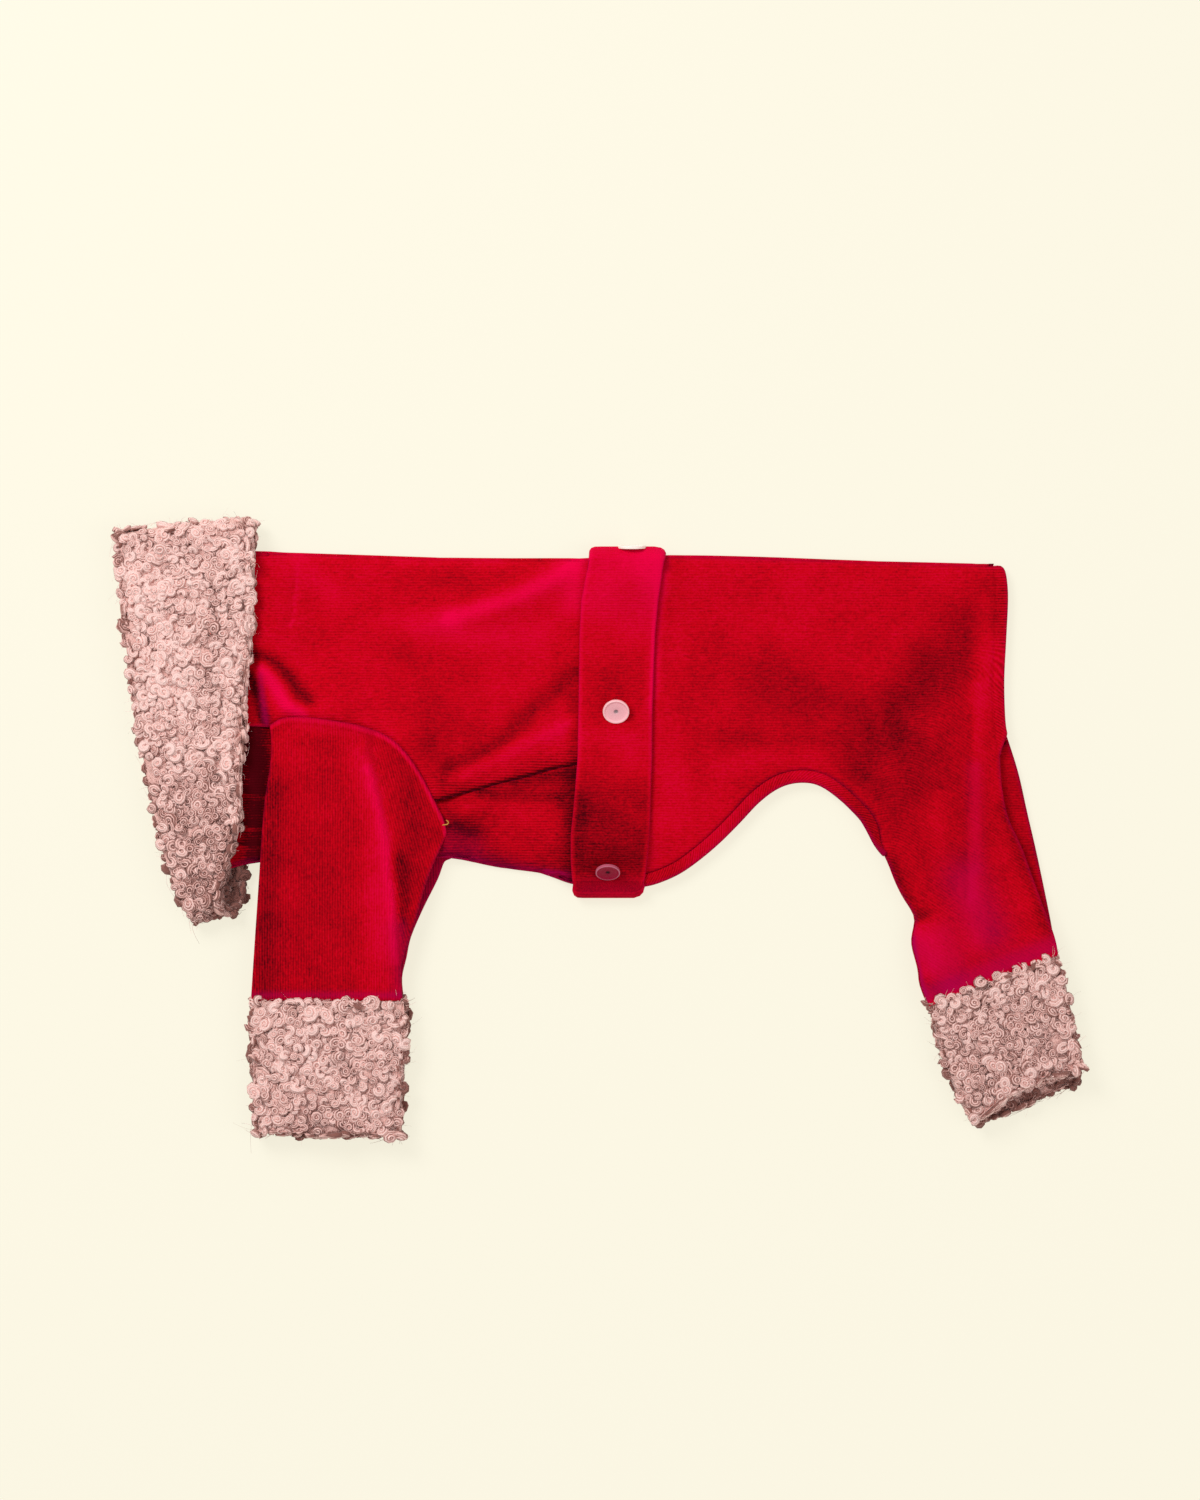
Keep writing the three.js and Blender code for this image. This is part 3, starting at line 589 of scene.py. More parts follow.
# %% Turning points into a piece
def make_piece(name, points, faces, finish, cloth_map=None, marks=None):
    """A mesh piece at its place, with its own map and the numbers that its finish reads."""
    mesh = bpy.data.meshes.new(name)
    place = (np.asarray(points, float) + CENTRE_SHIFT) * MM
    mesh.from_pydata(place.tolist(), [], [list(map(int, face)) for face in faces])
    piece = bpy.data.objects.new(name, mesh)
    bpy.context.collection.objects.link(piece)
    mesh.materials.append(finish)
    mesh.polygons.foreach_set("use_smooth", np.ones(len(mesh.polygons), bool))
    for mark, values in (marks or {}).items():
        stored = mesh.attributes.new(mark, "FLOAT", "POINT")
        stored.data.foreach_set("value", np.asarray(values, np.float32))
    if cloth_map is not None:
        layer = mesh.uv_layers.new(name="cloth")
        corners = np.zeros(len(mesh.loops), np.int32)
        mesh.loops.foreach_get("vertex_index", corners)
        layer.data.foreach_set("uv", np.asarray(cloth_map, np.float32)[corners].ravel())
    return piece


def thicken(piece, wall=VELOUR):
    """Gives a sheet its thickness, half on each side, and keeps it above the table."""
    bpy.ops.object.select_all(action="DESELECT")
    piece.select_set(True)
    bpy.context.view_layer.objects.active = piece
    solidify = piece.modifiers.new("wall", "SOLIDIFY")
    solidify.thickness, solidify.offset = wall * MM, 0
    bpy.ops.object.modifier_apply(modifier="wall")
    piece.select_set(False)
    for vertex in piece.data.vertices:
        vertex.co.z = max(vertex.co.z, 0)
    return piece


def area_of(outline):
    """The area inside an outline, in square metres."""
    return abs(doubled_area(outline)) / 2 * MM**2


def sew(piece, *nodes, slot="velour"):
    """Puts a finished piece in the place of its measured nodes."""
    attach(piece, "root")
    if nodes:
        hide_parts(*nodes)
    print(piece.name, "faces:", len(piece.data.polygons))


def lay(piece, node, size, area=None):
    """Sews a cloth in and states the flat size that it is cut to, in metres."""
    sew(piece, node)
    print("    cut in metres:", np.round(size, 3), "area:", area and round(area, 4))


OTHER_WAY = [0, 3, 2, 1]


def grid_faces(rows, columns, round_rows=False, round_columns=False):
    """Faces of a grid of points. The last row or column can join the first."""
    i = np.arange(rows - 1 + round_rows)[:, None]
    j = np.arange(columns - 1 + round_columns)
    here, below, right = i * columns, (i + 1) % rows * columns, (j + 1) % columns
    return np.stack([here + j, below + j, below + right, here + right], -1).reshape(-1, 4)


# %% A sheet folded in half
FOLD_END = 2
FOLD_TURNS = (45, 90, 135)


def folded_sheet(name, near, far, fold_count, finish):
    """Joins a near and a far sheet along the fold that both outlines start with."""
    near_points, near_faces = near["points"], near["faces"]
    far_points, far_faces = far["points"], far["faces"]
    fold = np.arange(fold_count)
    top, bottom = near_points[fold], far_points[fold]
    ahead = np.gradient(top[:, :2], axis=0)
    ahead /= np.linalg.norm(ahead, axis=1)[:, None]
    outward = np.stack([-ahead[:, 1], ahead[:, 0]], -1) * near["side"]
    middle, radius = (top + bottom) / 2, (top[:, 2] - bottom[:, 2]) / 2
    rows, shift = [fold], len(near_points) + len(far_points)
    turned = []
    end = np.minimum(fold, fold_count - 1 - fold) / FOLD_END
    bulge = radius * soften(0.2 + end)
    for turn in np.radians(FOLD_TURNS):
        row = middle.copy()
        row[:, :2] += outward * (bulge * math.sin(turn))[:, None]
        row[:, 2] += radius * math.cos(turn)
        rows.append(shift + np.arange(fold_count))
        turned.append(row)
        shift += fold_count
    rows.append(len(near_points) + fold)
    strips = []
    for first, second in zip(rows, rows[1:]):
        strips += list(zip(first[:-1], first[1:], second[1:], second[:-1]))
    if near["side"] < 0:
        strips = [strip[::-1] for strip in strips]
    faces = [*near_faces, *(far_faces[:, ::-1] + len(near_points)), *[s[::-1] for s in strips]]
    points = np.vstack([near_points, far_points, *turned])
    turns = len(FOLD_TURNS)
    cloth_map = np.vstack([near["map"], far["map"], *[near["map"][fold]] * turns])
    marks = {
        key: np.concatenate([near["marks"][key], far["marks"][key], *[near["marks"][key][fold]] * turns])
        for key in near["marks"]
    }
    return thicken(make_piece(name, points, faces, finish, cloth_map, marks))


# %% [markdown]
# ## The lean of the pile, with painted light and shade
# The broad lights and darks of velour are partly strokes of the pile, brushed one way or the
# other by the drape, and partly painted light: painted highlights along ridges and folds, and
# painted shade in creases, in hollows and under other parts. Each row below is one stroke:
# pink ones are above zero, dark ones below. They fade out at their reach, as a thumb mark on
# real velour does.

# %% Nap strokes, with painted light and shade
# columns reach, lean, and the points that the stroke runs through
BODY_NAP_AND_LIGHT = [
    (4.5, 0.8, (-9, 136), (-22, 126), (-42, 116), (-76, 105)), (8, 0.25, (-76, 104), (-112, 101)),
    (10, 0.3, (-152, 134), (-138, 122)), (12, -0.1, (-155, 118), (-140, 95)),
    (3.4, 1.0, (-169, 80), (-165, 75), (-161, 69), (-157, 62), (-149, 57.5)),
    (4.2, -0.8, (-174, 87), (-166, 84), (-159.5, 80), (-154.5, 74.5), (-151, 69), (-146, 64)),
    (3.5, -1.0, (-175, 76), (-171, 66), (-168, 54)), (0.7, 0.5, (-151, 137), (-153, 108), (-155, 101)),
    (14, -0.2, (-100, 118), (-50, 122)), (8, 0.3, (-90, 98), (-30, 96)),
    (10, -0.25, (-92, 60), (-76, 44)), (12, -0.15, (-98, 92), (-70, 84)),
    (14, -0.12, (-110, 86), (-84, 72)), (3.5, 0.4, (-74, 24), (-48, 37), (-14, 53)),
    (4, -0.3, (-78, 22), (-50, 22), (-22, 27)), (5, -0.5, (-76, 30), (-54, 39), (-31, 62), (-12, 77)),
    (3.5, -0.2, (-60, 27), (-30, 33), (-11, 37)), (8, -0.2, (-86, 40), (-76, 22)),
    (1.2, -1.2, *SIDE_SEAM_SHADE), (3.5, -0.45, (-12.5, 66), (-13.5, 26)),
    (6, 0.5, (-12, 128), (-14, 112)), (2, 0.5, (33.5, 136), (30.5, 112), (28.8, 94), (27.8, 66)),
    (14, -0.2, (56, 84), (80, 80)), (16, -0.12, (90, 78), (132, 66)), (14, -0.2, (84, 62), (134, 54)),
    (13, -0.4, (192, 112), (168, 88), (149, 64), (129, 33)), (20, -0.1, (44, 62), (70, 24)),
    (14, -0.2, (158, 40), (172, 30)), (8, -0.25, (132, 24), (148, 2)),
    (10, -0.1, (152, -8), (166, -26)), (5, -0.25, (62, 44), (122, 44)),
    (7, -0.15, (104, 80), (110, 56)), (8, -0.2, (-80, 64), (-62, 48)),
    (4, 0.3, (-100, 135), (-50, 135)), (4, -0.4, (161, -78), (168, -80)),
    (6, 0.35, (193, 112), (192, 66)), (10, -0.25, (150, 44), (160, 20)),
    (10, -0.25, (192, 104), (172, 72), (156, 62)), (5, 0.25, (138, 62), (142, 46)),
    (8, 0.2, (60, 30), (88, 38)), (26, -0.22, (176, 60), (176, 0), (190, -60)),
    (3.6, 0.3, (189.5, 70), (188.5, 48), (187.5, 0), (186, -34)),
    (1.8, -0.2, (185.5, 60), (184.5, 20), (182.5, -34)), (4, -0.4, (202, 10), (224, -50)),
    (9, 0.55, (161, -54), (167, -66)), (4.5, -0.55, (146, -18), (150, -28), (156, -42)),
    (3, -0.6, (157, -46), (163, -43)), (4, -0.4, (204, 34), (209, 4)), (6, 0.25, (168, 14), (170, -20)),
    (6, 0.3, (184, -26), (188, -56)), (10, 0.2, (32, 36), (38, 12)), (2.5, 0.2, (163, -85), (226, -60)),
    (12, -0.15, (150, 20), (168, -20)),
]
BODY_PAINTED_SHEEN = [
    (11, 0.4, (182, -26), (194, -52)), (8, 0.3, (160, -60), (174, -76)),
    (6, 0.2, (172, -52), (178, -66)), (4, 0.4, (163, -82), (226, -57)),
    (1.6, 0.3, (163, -85), (227, -60)), (4, 0.2, (187, 30), (188, -20)), (1.4, -0.4, *SIDE_SEAM_SHADE),
    (1.6, 0.5, (156.5, -55), (158, -68), (162, -82)),
    (1.4, 0.6, (-169.5, 77), (-168.5, 66), (-166.8, 53)), (1.6, 0.4, (-200, 139), (-10, 136)),
    (1.6, 0.4, (34, 137), (196, 132.5)),
]
BELLY_NAP_AND_LIGHT = [
    (60, -0.28, (-76, 0), (0, 0)), (5, -0.5, (-72, 2), (-65, -1)), (8, 0.2, (-48, 14), (-24, 0)),
    (5, -0.45, (-78, -13), (-50, -18), (-16, -26)), (6, -0.6, (-13, 24), (-13, -20)),
    (3, -0.25, (-40, 21), (-12, 28)), (1.3, -0.4, (-60, 18.6), (-40, 23.6), (-12, 30)),
    (9, -0.25, (-76, -2), (-62, -6)), (3, -0.4, (-60, 17.5), (-40, 16), (-20, 15.5)),
    (3, 0.3, (-70, 10), (-58, 12)), (9, -1.15, (-173, 56), (-172.5, -14)),
    (1.2, 0.5, (-184, 17), (-168, 15.5)), (1, -0.6, (-184, 20), (-168, 18.5)),
    (5, -0.25, (-184, 36), (-168, 36)), (1, 0.4, (-184, 0.5), (-168, -0.5)),
    (1, -0.5, (-184, 3), (-168, 2)), (1, 0.4, (-184, -9.5), (-168, -10.5)),
    (1, -0.5, (-184, -7), (-168, -8)),
]
BELLY_PAINTED_SHEEN = [
    (4.5, 0.16, (-78, -13), (-50, -18), (-16, -26)), (7, 0.14, (-76, -5), (-64, -9)),
    (0.8, 0.6, (-27, -21), (-15, -23)),
]
SLEEVE_NAP_AND_LIGHT = [
    (90, -0.24, (-134, 40), (-134, -80)), (8, 0.45, (-119, 36), (-113, 5), (-109, -26), (-106, -60)),
    (2.6, 0.8, (-116, 30), (-110.5, 9), (-107.5, -6), (-106, -21), (-104.4, -33), (-103, -50),
        (-101.6, -66)),
    (25, -0.08, (-150, 0), (-150, -60)), (7, -0.3, (-95, 22), (-92, -26)),
    (4.5, -0.6, (-100.5, -14), (-98.5, -34), (-99, -50), (-99, -66)), (9, 0.12, (-152, 40), (-146, 10)),
    (3, 0.3, (-150, 52), (-120, 48)), (6, -0.35, (-163, 20), (-168, -80)),
    (12, 0.2, (-114, -36), (-108, -78)),
]
SLEEVE_PAINTED_SHEEN = [(5, 0.3, (-101, -50), (-99, -82)), (1.8, 0.45, (-172, -83), (-99, -83))]
FAR_SLEEVE_PAINTED_SHEEN = [(60, 0.35, (-84, -20), (-98, -70))]
BELT_NAP_AND_LIGHT = [
    (18, 0.6, (0, 138), (28, 138)), (1.6, 0.9, (31.4, 138), (28.6, 112), (27, 94), (25.8, 60)),
    (12, 0.3, (0, 112), (24, 104)), (9, 0.2, (10, 40), (14, 34)), (14, -0.25, (8, 76), (8, 54)),
    (6, 0.3, (-6, 48), (14, 46)), (16, -0.55, (-6, 14), (20, 10)), (14, -0.4, (-4, -6), (16, -10)),
    (9, -0.45, (-12, -22), (18, -20)), (8, 0.4, (24, 134), (26, 116)), (5, 0.3, (14, 10), (19, 4)),
    (5, -0.3, (-10, 14), (-12, -16)),
]
BELT_PAINTED_SHEEN = [(5, 0.2, (-8, -31), (20, -31))]


# the purple rim of painted sheen along the cloth's edges is this wide
RIM_WIDTH = 0.8
# the far and inner layers lie under the near ones, so their pile is painted darker as painted shade
FAR_PAINTED_SHADE, INNER_PAINTED_SHADE = -0.3, -0.5


def edge_marks(points, edge, nap_and_light, ribbed, rim=0.35, sheen_strokes=()):
    """The three numbers of the finish. The cloth's edge gets a fine purple rim of painted sheen."""
    away = distance_to(points[:, :2], edge)
    return {
        "nap_and_light": nap_and_light,
        "painted_sheen": rim * np.exp(-((away / RIM_WIDTH) ** 2)) + strokes(points, sheen_strokes),
        "ribbed": np.full(len(points), float(ribbed)) if np.isscalar(ribbed) else ribbed,
    }


# %% [markdown]
# ## Back panel
# The largest piece: back, sides and the outer hind legs in one, folded along the spine. It dips
# where it is sewn to the sleeve and the belly, and its tail edge is turned in and sewn down,
# which shows as a groove. On the leg the ribs turn and run down towards the tail.

# %% Back panel outline and relief
HEM_STEP, HEM_TAPER = 1.5, 18
# beyond this x the end of the fold is held below this y
TAIL_CORNER = (188, 133.2)


def hem_line(share):
    """A line along the belly opening, the given share of the hem's width inside its edge."""
    edge = even_line(smooth_line(BELLY_OPENING), HEM_STEP)
    taper = 0.12 + 0.88 * soften(np.arange(len(edge)) * HEM_STEP / HEM_TAPER)
    return edge + (shifted(edge, 1) - edge) * (share * HEM_WIDTH * taper)[:, None]


HEM_SEAM = hem_line(1 + SEAM_GAP / HEM_WIDTH)
FOLD_INSET = FOLD_RADIUS + VELOUR / 2
SLEEVE_LAP = 1.0
HEAD_EDGE = shifted(smooth_line(SLEEVE_HEAD), -SLEEVE_LAP)
back_fold = even_line(shifted(smooth_line(BACK_FOLD), FOLD_INSET), 2)


def back_outline(leg_rear, step):
    rest = [
        back_fold[-1:], smooth_line(TAIL_EDGE), smooth_line(leg_rear)[1:], smooth_line(LEG_FRONT),
        HEM_SEAM[1:], np.array([(6.6, -22), (6.6, 33.2)]), smooth_line(SIDE_SEAM),
        HEAD_EDGE[HEAD_EDGE[:, 1] > 13], np.array([(-206, 52.3)]), back_fold[:1],
    ]
    return np.vstack([back_fold, even_line(np.vstack(rest), step)[1:-1]])


def back_surface(points):
    """Height of the near back panel, with its seams, its groove and its small folds."""
    x, y = points[:, 0], points[:, 1]
    height = near_height(x, y) + strokes(points, SMALL_FOLDS)
    head = distance_to(points, HEAD_EDGE)
    height -= 1.6 * np.exp(-((head / 2) ** 2))
    side = distance_to(points, smooth_line(SIDE_SEAM))
    height -= 0.9 * np.exp(-((side / 1.5) ** 2))
    height += 0.9 * np.exp(-(((side - 4.5) / 3) ** 2))
    hem = distance_to(points, HEM_SEAM)
    height -= 0.7 * np.exp(-((hem / 1.1) ** 2))
    groove = distance_to(points, smooth_line(TAIL_GROOVE))
    height -= 0.8 * np.exp(-((groove / 0.7) ** 2))
    return rounded(height, far_height(x, y), back_line(x) - FOLD_INSET - y, 11)


def back_ribs(points):
    """Where each point falls across the ribs, in millimetres."""
    x, y = points[:, 0], points[:, 1]
    valley_x = look_up([(-60, 120), (30, 132), (60, 152), (90, 172), (112, 192)], y)
    leg = soften((x - valley_x - 4) / 30) * soften((96 - y) / 30)
    slanted = 0.53 * x + 0.85 * y - 81
    return np.stack([x, blend(y, slanted, leg)], -1)


# %% Back panel
near_outline = back_outline(LEG_REAR_NEAR, 1.6)
near_flat, near_faces = filled(near_outline, 1.9, lines=[smooth_line(TAIL_GROOVE)])
near_points = np.column_stack([near_flat, back_surface(near_flat)])
tail_strip = np.exp(-((distance_to(near_flat, smooth_line(TAIL_EDGE)) / 5.5) ** 4))
side_strip = np.exp(-((distance_to(near_flat, smooth_line(SIDE_SEAM)) / 12) ** 2))
# painted shade in the groove of the hem seam
hem_groove_shade = np.exp(-((distance_to(near_flat, HEM_SEAM) / 1.1) ** 2))
near_part = {
    "points": near_points, "faces": near_faces, "map": back_ribs(near_flat), "side": 1,
    "marks": edge_marks(
        near_points, near_outline[len(back_fold):], strokes(near_flat, BODY_NAP_AND_LIGHT) - 0.6 * hem_groove_shade,
        0.55 + 0.9 * tail_strip + 0.8 * side_strip, sheen_strokes=BODY_PAINTED_SHEEN,
    ),
}
far_outline = back_outline(LEG_REAR_FAR, 3)
far_flat, far_faces = filled(far_outline, 6, (1.2, 4))
far_points = np.column_stack([far_flat, far_height(far_flat[:, 0], far_flat[:, 1])])
far_part = {
    "points": far_points, "faces": far_faces, "map": far_flat * (1, -1),
    "marks": edge_marks(far_points, far_outline[len(back_fold):], np.full(len(far_flat), FAR_PAINTED_SHADE), 0.5),
}
back_panel = folded_sheet("back_panel_cloth", near_part, far_part, len(back_fold), VELOUR_FINISH)
for vertex in back_panel.data.vertices:
    if vertex.co.x > TAIL_CORNER[0] * MM:
        vertex.co.y = min(vertex.co.y, TAIL_CORNER[1] * MM)
back_size = np.ptp(near_outline, axis=0) * (1, 2) * MM
back_area = area_of(near_outline) + area_of(far_outline)
lay(back_panel, "back_panel", back_size, back_area)

# %% [markdown]
# ## Belly panel
# The belly panel is folded along its own centre too. It shows between the sleeve and the belt,
# where it hollows behind the elbow, and as a strip between the collar and the sleeve, which is
# painted dark as painted shade.

# %% Belly panel
belly_fold = even_line(shifted(smooth_line(BELLY_FOLD), -FOLD_INSET), 2)
UNDER_SEAM = 2.0
SEAM_LAP = 2.2


def belly_seam_line(x):
    """Where the back panel's lower edge lies over the belly panel."""
    seam = look_up(SIDE_SEAM, x)
    return np.where(x < -160, 52, np.where(x < -83, 200, seam))


def belly_surface(points, near):
    x, y = points[:, 0], points[:, 1]
    neck = neck_share(x, y, 9)
    between = soften((x + 178) / 8) * soften((-62 - x) / 16)
    far = blend(blend(far_height(x, y), FAR_REST + 2 * LAYER, between), NECK_FAR, neck)
    if not near:
        return far
    free = near_height(x, y) + strokes(points, BELLY_FOLDS)
    top = blend(blend(free, FAR_REST + 3 * LAYER, between), NECK_NEAR, neck)
    under = np.minimum(belly_seam_line(x) - y, 4)
    top -= UNDER_SEAM * (1 - soften((under + 1.2) / 3.6))
    return rounded(top, far, y - belly_line(x) - FOLD_INSET, 8)


belly_rest = even_line(np.vstack([
    belly_fold[-1:], np.array([(6.2, 32.7)]), shifted(smooth_line(SIDE_SEAM), SEAM_LAP)[2:],
    smooth_line(UNDERARM)[:-1], np.array([(-160, 55), (-192, 55)]), belly_fold[:1],
]), 1.8)
belly_outline = np.vstack([belly_fold, belly_rest[1:-1]])


def belly_part(near, spacing, rows):
    flat, faces = filled(belly_outline, spacing, rows)
    points = np.column_stack([flat, belly_surface(flat, near)])
    # the far layer lies underneath and is painted darker as painted shade
    nap_and_light = strokes(flat, BELLY_NAP_AND_LIGHT) if near else np.full(len(flat), -0.4)
    marks = edge_marks(points, belly_fold, nap_and_light, 0.8, sheen_strokes=BELLY_PAINTED_SHEEN if near else ())
    return {"points": points, "faces": faces, "map": flat, "side": -1, "marks": marks}


belly_panel = folded_sheet(
    "belly_panel_cloth", belly_part(True, 2, (0.8, 2, 3.4)), belly_part(False, 5, (2,)),
    len(belly_fold), VELOUR_FINISH,
)
belly_size = np.ptp(belly_outline, axis=0) * (1, 2) * MM
lay(belly_panel, "belly_panel", belly_size, 2 * area_of(belly_outline))

# %% [markdown]
# ## Inner hind legs
# Each hind leg has an inner panel under its outer one. Only their edges can be seen, but
# without them the legs would be empty from the side.

# %% Inner legs
CROTCH = 46
LEG_INSET = 0.6


def inner_leg(name, leg_rear, layer, cuff_height, node, finish, nap_and_light):
    rear = shifted(smooth_line(leg_rear), LEG_INSET)
    front = shifted(smooth_line(LEG_FRONT), LEG_INSET)
    loop = np.vstack([rear[rear[:, 1] < CROTCH], front])
    outline = even_line(np.vstack([loop, loop[:1]]), 3)[:-1]
    flat, faces = filled(outline, 5, (1.5,))
    x, y = flat.T
    points = np.column_stack([flat, blend(FAR_REST + layer * LAYER, cuff_height, cuff_share(x, y))])
    marks = edge_marks(points, outline, np.full(len(flat), nap_and_light), 0.5)
    leg = thicken(make_piece(name, points, faces, finish, flat, marks))
    lay(leg, node, np.ptp(outline, axis=0) * MM, area_of(outline))


# the near inner leg lies under the outer leg, so it takes the velour painted darker as painted shade
inner_leg(
    "inner_leg_near_cloth", LEG_REAR_NEAR, 2, CUFF_NEAR - CUFF_LAYER, "inner_leg_near",
    VELOUR_SHADE, INNER_PAINTED_SHADE,
)
inner_leg(
    "inner_leg_far_cloth", LEG_REAR_FAR, 1, CUFF_FAR + CUFF_LAYER, "inner_leg_far",
    VELOUR_FINISH, FAR_PAINTED_SHADE,
)

# %% [markdown]
# ## Hems of the belly opening
# A narrow doubled strip binds the belly opening. Its ribs run across it at a slant, and the
# sewing line beside it is a groove. The strip is a plain grid along the edge with a rounded top.

# %% Belly hems
HEM_NAP = [(14, -0.3, (14, -30), (36, -24)), (14, -0.5, (128, 8), (142, -12))]
HEM_SHARES = np.array([0, 0.12, 0.3, 0.5, 0.7, 0.88, 1])
HEM_DOUBLED = 1.2


def belly_hem(name, height, node, finish):
    rows = [hem_line(share) for share in HEM_SHARES]
    edge = rows[0]
    flat = np.vstack(rows)
    crown = np.repeat(np.sin(np.pi * HEM_SHARES) ** 0.5 * 0.5 - 0.3, len(edge))
    points = np.column_stack([flat, height(flat[:, 0], flat[:, 1]) + crown])
    count = len(edge)
    faces = grid_faces(len(rows), count)
    length = np.arange(count) * HEM_STEP
    across = np.repeat(HEM_SHARES * HEM_WIDTH, count)
    cloth_map = np.column_stack([across, np.tile(length, len(rows)) * 0.8 + across * 0.9])
    nap_and_light = 0.1 + strokes(points, HEM_NAP)
    marks = edge_marks(points, edge, nap_and_light, 1.2, 0.6)
    hem = thicken(make_piece(name, points, faces, finish, cloth_map, marks), HEM_WALL)
    width, run = HEM_WIDTH * MM, length[-1] * MM
    lay(hem, node, (2 * width, run), width * run * HEM_DOUBLED)


belly_hem(
    "belly_hem_near_strip", lambda x, y: near_height(x, y) + HEM_RISE, "belly_hem_near", VELOUR_FINISH
)
# the far hem lies underneath and takes the velour painted darker as painted shade
belly_hem("belly_hem_far_strip", lambda x, y: far_height(x, y) + SEAM_GAP, "belly_hem_far", VELOUR_SHADE)

# %% [markdown]
# ## Sleeves
# A sleeve is a tube that lies flat: two layers between four edges, the armhole, the front, the
# back and the cuff seam. Any point inside is blended from the edges around it. The near sleeve
# has a pressed fold running down from the shoulder. Beyond it the cloth lies lower, and it is
# painted darker as painted shade.


# %% A point between four edges
def between_edges(edges, u, s):
    top, bottom, left, right = edges
    weight_u, weight_s = u[:, None], s[:, None]
    sides = along(top, u) * (1 - weight_s) + along(bottom, u) * weight_s
    ends = along(left, s) * (1 - weight_u) + along(right, s) * weight_u
    corners = (
        top[0] * (1 - weight_u) * (1 - weight_s) + top[-1] * weight_u * (1 - weight_s)
        + bottom[0] * (1 - weight_u) * weight_s + bottom[-1] * weight_u * weight_s
    )
    return sides + ends - corners


def flat_tube(edges, rings, columns, inset):
    """Middle points of a flattened tube, with its side (1 near, -1 far) and its roundness."""
    steps = np.arange(columns) / columns
    swing = np.concatenate([-np.cos(np.pi * steps), np.cos(np.pi * steps)])
    side = np.repeat([1.0, -1.0], columns)
    s = np.repeat(np.linspace(0, 1, rings + 1), 2 * columns)
    swing, side = np.tile(swing, rings + 1), np.tile(side, rings + 1)
    left, right = between_edges(edges, s * 0, s), between_edges(edges, s * 0 + 1, s)
    shrink = inset / np.linalg.norm(right - left, axis=1)
    u = shrink + (1 - 2 * shrink) * (0.5 + 0.5 * swing)
    flat = between_edges(edges, u, s)
    faces = grid_faces(rings + 1, 2 * columns, round_columns=True)
    roundness = np.sqrt(np.maximum(0, 1 - np.abs(swing) ** 5))
    return {"flat": flat, "u": u, "s": s, "side": side, "round": roundness, "faces": faces}


# %% Sleeves
SLEEVE_FLARE = 1.35
# a painted highlight runs along the armhole seam, this far from it and this wide
HEAD_LIT, HEAD_LIT_REACH = 1.0, 0.6


def sleeve(name, rear, head_centre, cuff_centre, puff, node, finish, near):
    head = shifted(smooth_line(SLEEVE_HEAD[::-1]), 0.4)
    front = smooth_line([tuple(head[0]), *SLEEVE_FRONT[1:]])
    back = smooth_line([tuple(head[-1]), *rear[1:]])
    cuff_seam = np.array([front[-1], back[-1]])
    tube = flat_tube((head, cuff_seam, front, back), 96, 40, VELOUR / 2)
    flat, s, side = tube["flat"], tube["s"], tube["side"]
    centre = blend(head_centre, cuff_centre, soften((s - 0.45) / 0.5)) + puff * np.sin(np.pi * s) / 2
    half = (2 * VELOUR + 0.4 + puff * np.sin(np.pi * s)) / 2 - VELOUR / 2
    height = centre + side * half * tube["round"]
    nap_and_light = strokes(flat, SLEEVE_NAP_AND_LIGHT) if near else np.full(len(flat), -0.1)
    across = flat[:, 0].copy()
    if near:
        height, across = near_sleeve_relief(tube, height)
    points = np.column_stack([flat, height])
    edge = np.vstack([front[::-1], head, back])
    # painted highlight along the armhole seam
    if near:
        nap_and_light += 0.9 * np.exp(-(((distance_to(flat, head) - HEAD_LIT) / HEAD_LIT_REACH) ** 2))
    sheen_strokes = SLEEVE_PAINTED_SHEEN if near else FAR_SLEEVE_PAINTED_SHEEN
    # the underside layer of the tube is painted darker as painted shade
    marks = edge_marks(points, edge, nap_and_light - 0.3 * (side < 0), 0.8, sheen_strokes=sheen_strokes)
    cloth_map = np.stack([flat[:, 1], across], -1)
    piece = thicken(make_piece(name, points, tube["faces"], finish, cloth_map, marks))
    width = np.linalg.norm(cuff_seam[1] - cuff_seam[0])
    length = np.linalg.norm(front[-1] - front[0])
    size = (2 * width * SLEEVE_FLARE * MM, length * MM)
    area = 2 * area_of(np.vstack([head, back, front[::-1]]))
    lay(piece, node, size, min(area, size[0] * size[1]))


def near_sleeve_relief(tube, height):
    """The pressed fold, the armhole seam and the ribs of the near sleeve."""
    flat, side, roundness = tube["flat"], tube["side"], tube["round"]
    x, y = flat.T
    crease = smooth_line(SLEEVE_CREASE)
    beyond = x - look_up([tuple(p[::-1]) for p in crease], y)
    fall = np.where(beyond < 0, np.exp(-((beyond / 15) ** 2)), np.exp(-((beyond / 1.8) ** 2)))
    strength = soften((40 - y) / 60)
    top = (side > 0) * roundness
    height = height + top * (1.5 * strength * fall - 0.7 * strength * (beyond > 0))
    head = distance_to(flat, smooth_line(SLEEVE_HEAD))
    seam_height = near_height(x, y) + np.where(side > 0, 0.5, -1.4)
    height = blend(seam_height, height, soften(head / 12))
    height += top * 0.7 * np.exp(-(((head - 1.5) / 0.9) ** 2))
    tilted = 0.97 * x + 0.26 * y
    return height, blend(x, tilted, soften(beyond / 2))


sleeve(
    "sleeve_near_cloth", SLEEVE_REAR_NEAR, 10.1, CUFF_NEAR, 1.8, "sleeve_near", VELOUR_FINISH, True
)
# the far sleeve lies underneath and takes the velour painted darker as painted shade
sleeve(
    "sleeve_far_cloth", SLEEVE_REAR_FAR, VELOUR + 0.2, CUFF_FAR, 0, "sleeve_far", VELOUR_SHADE, False
)

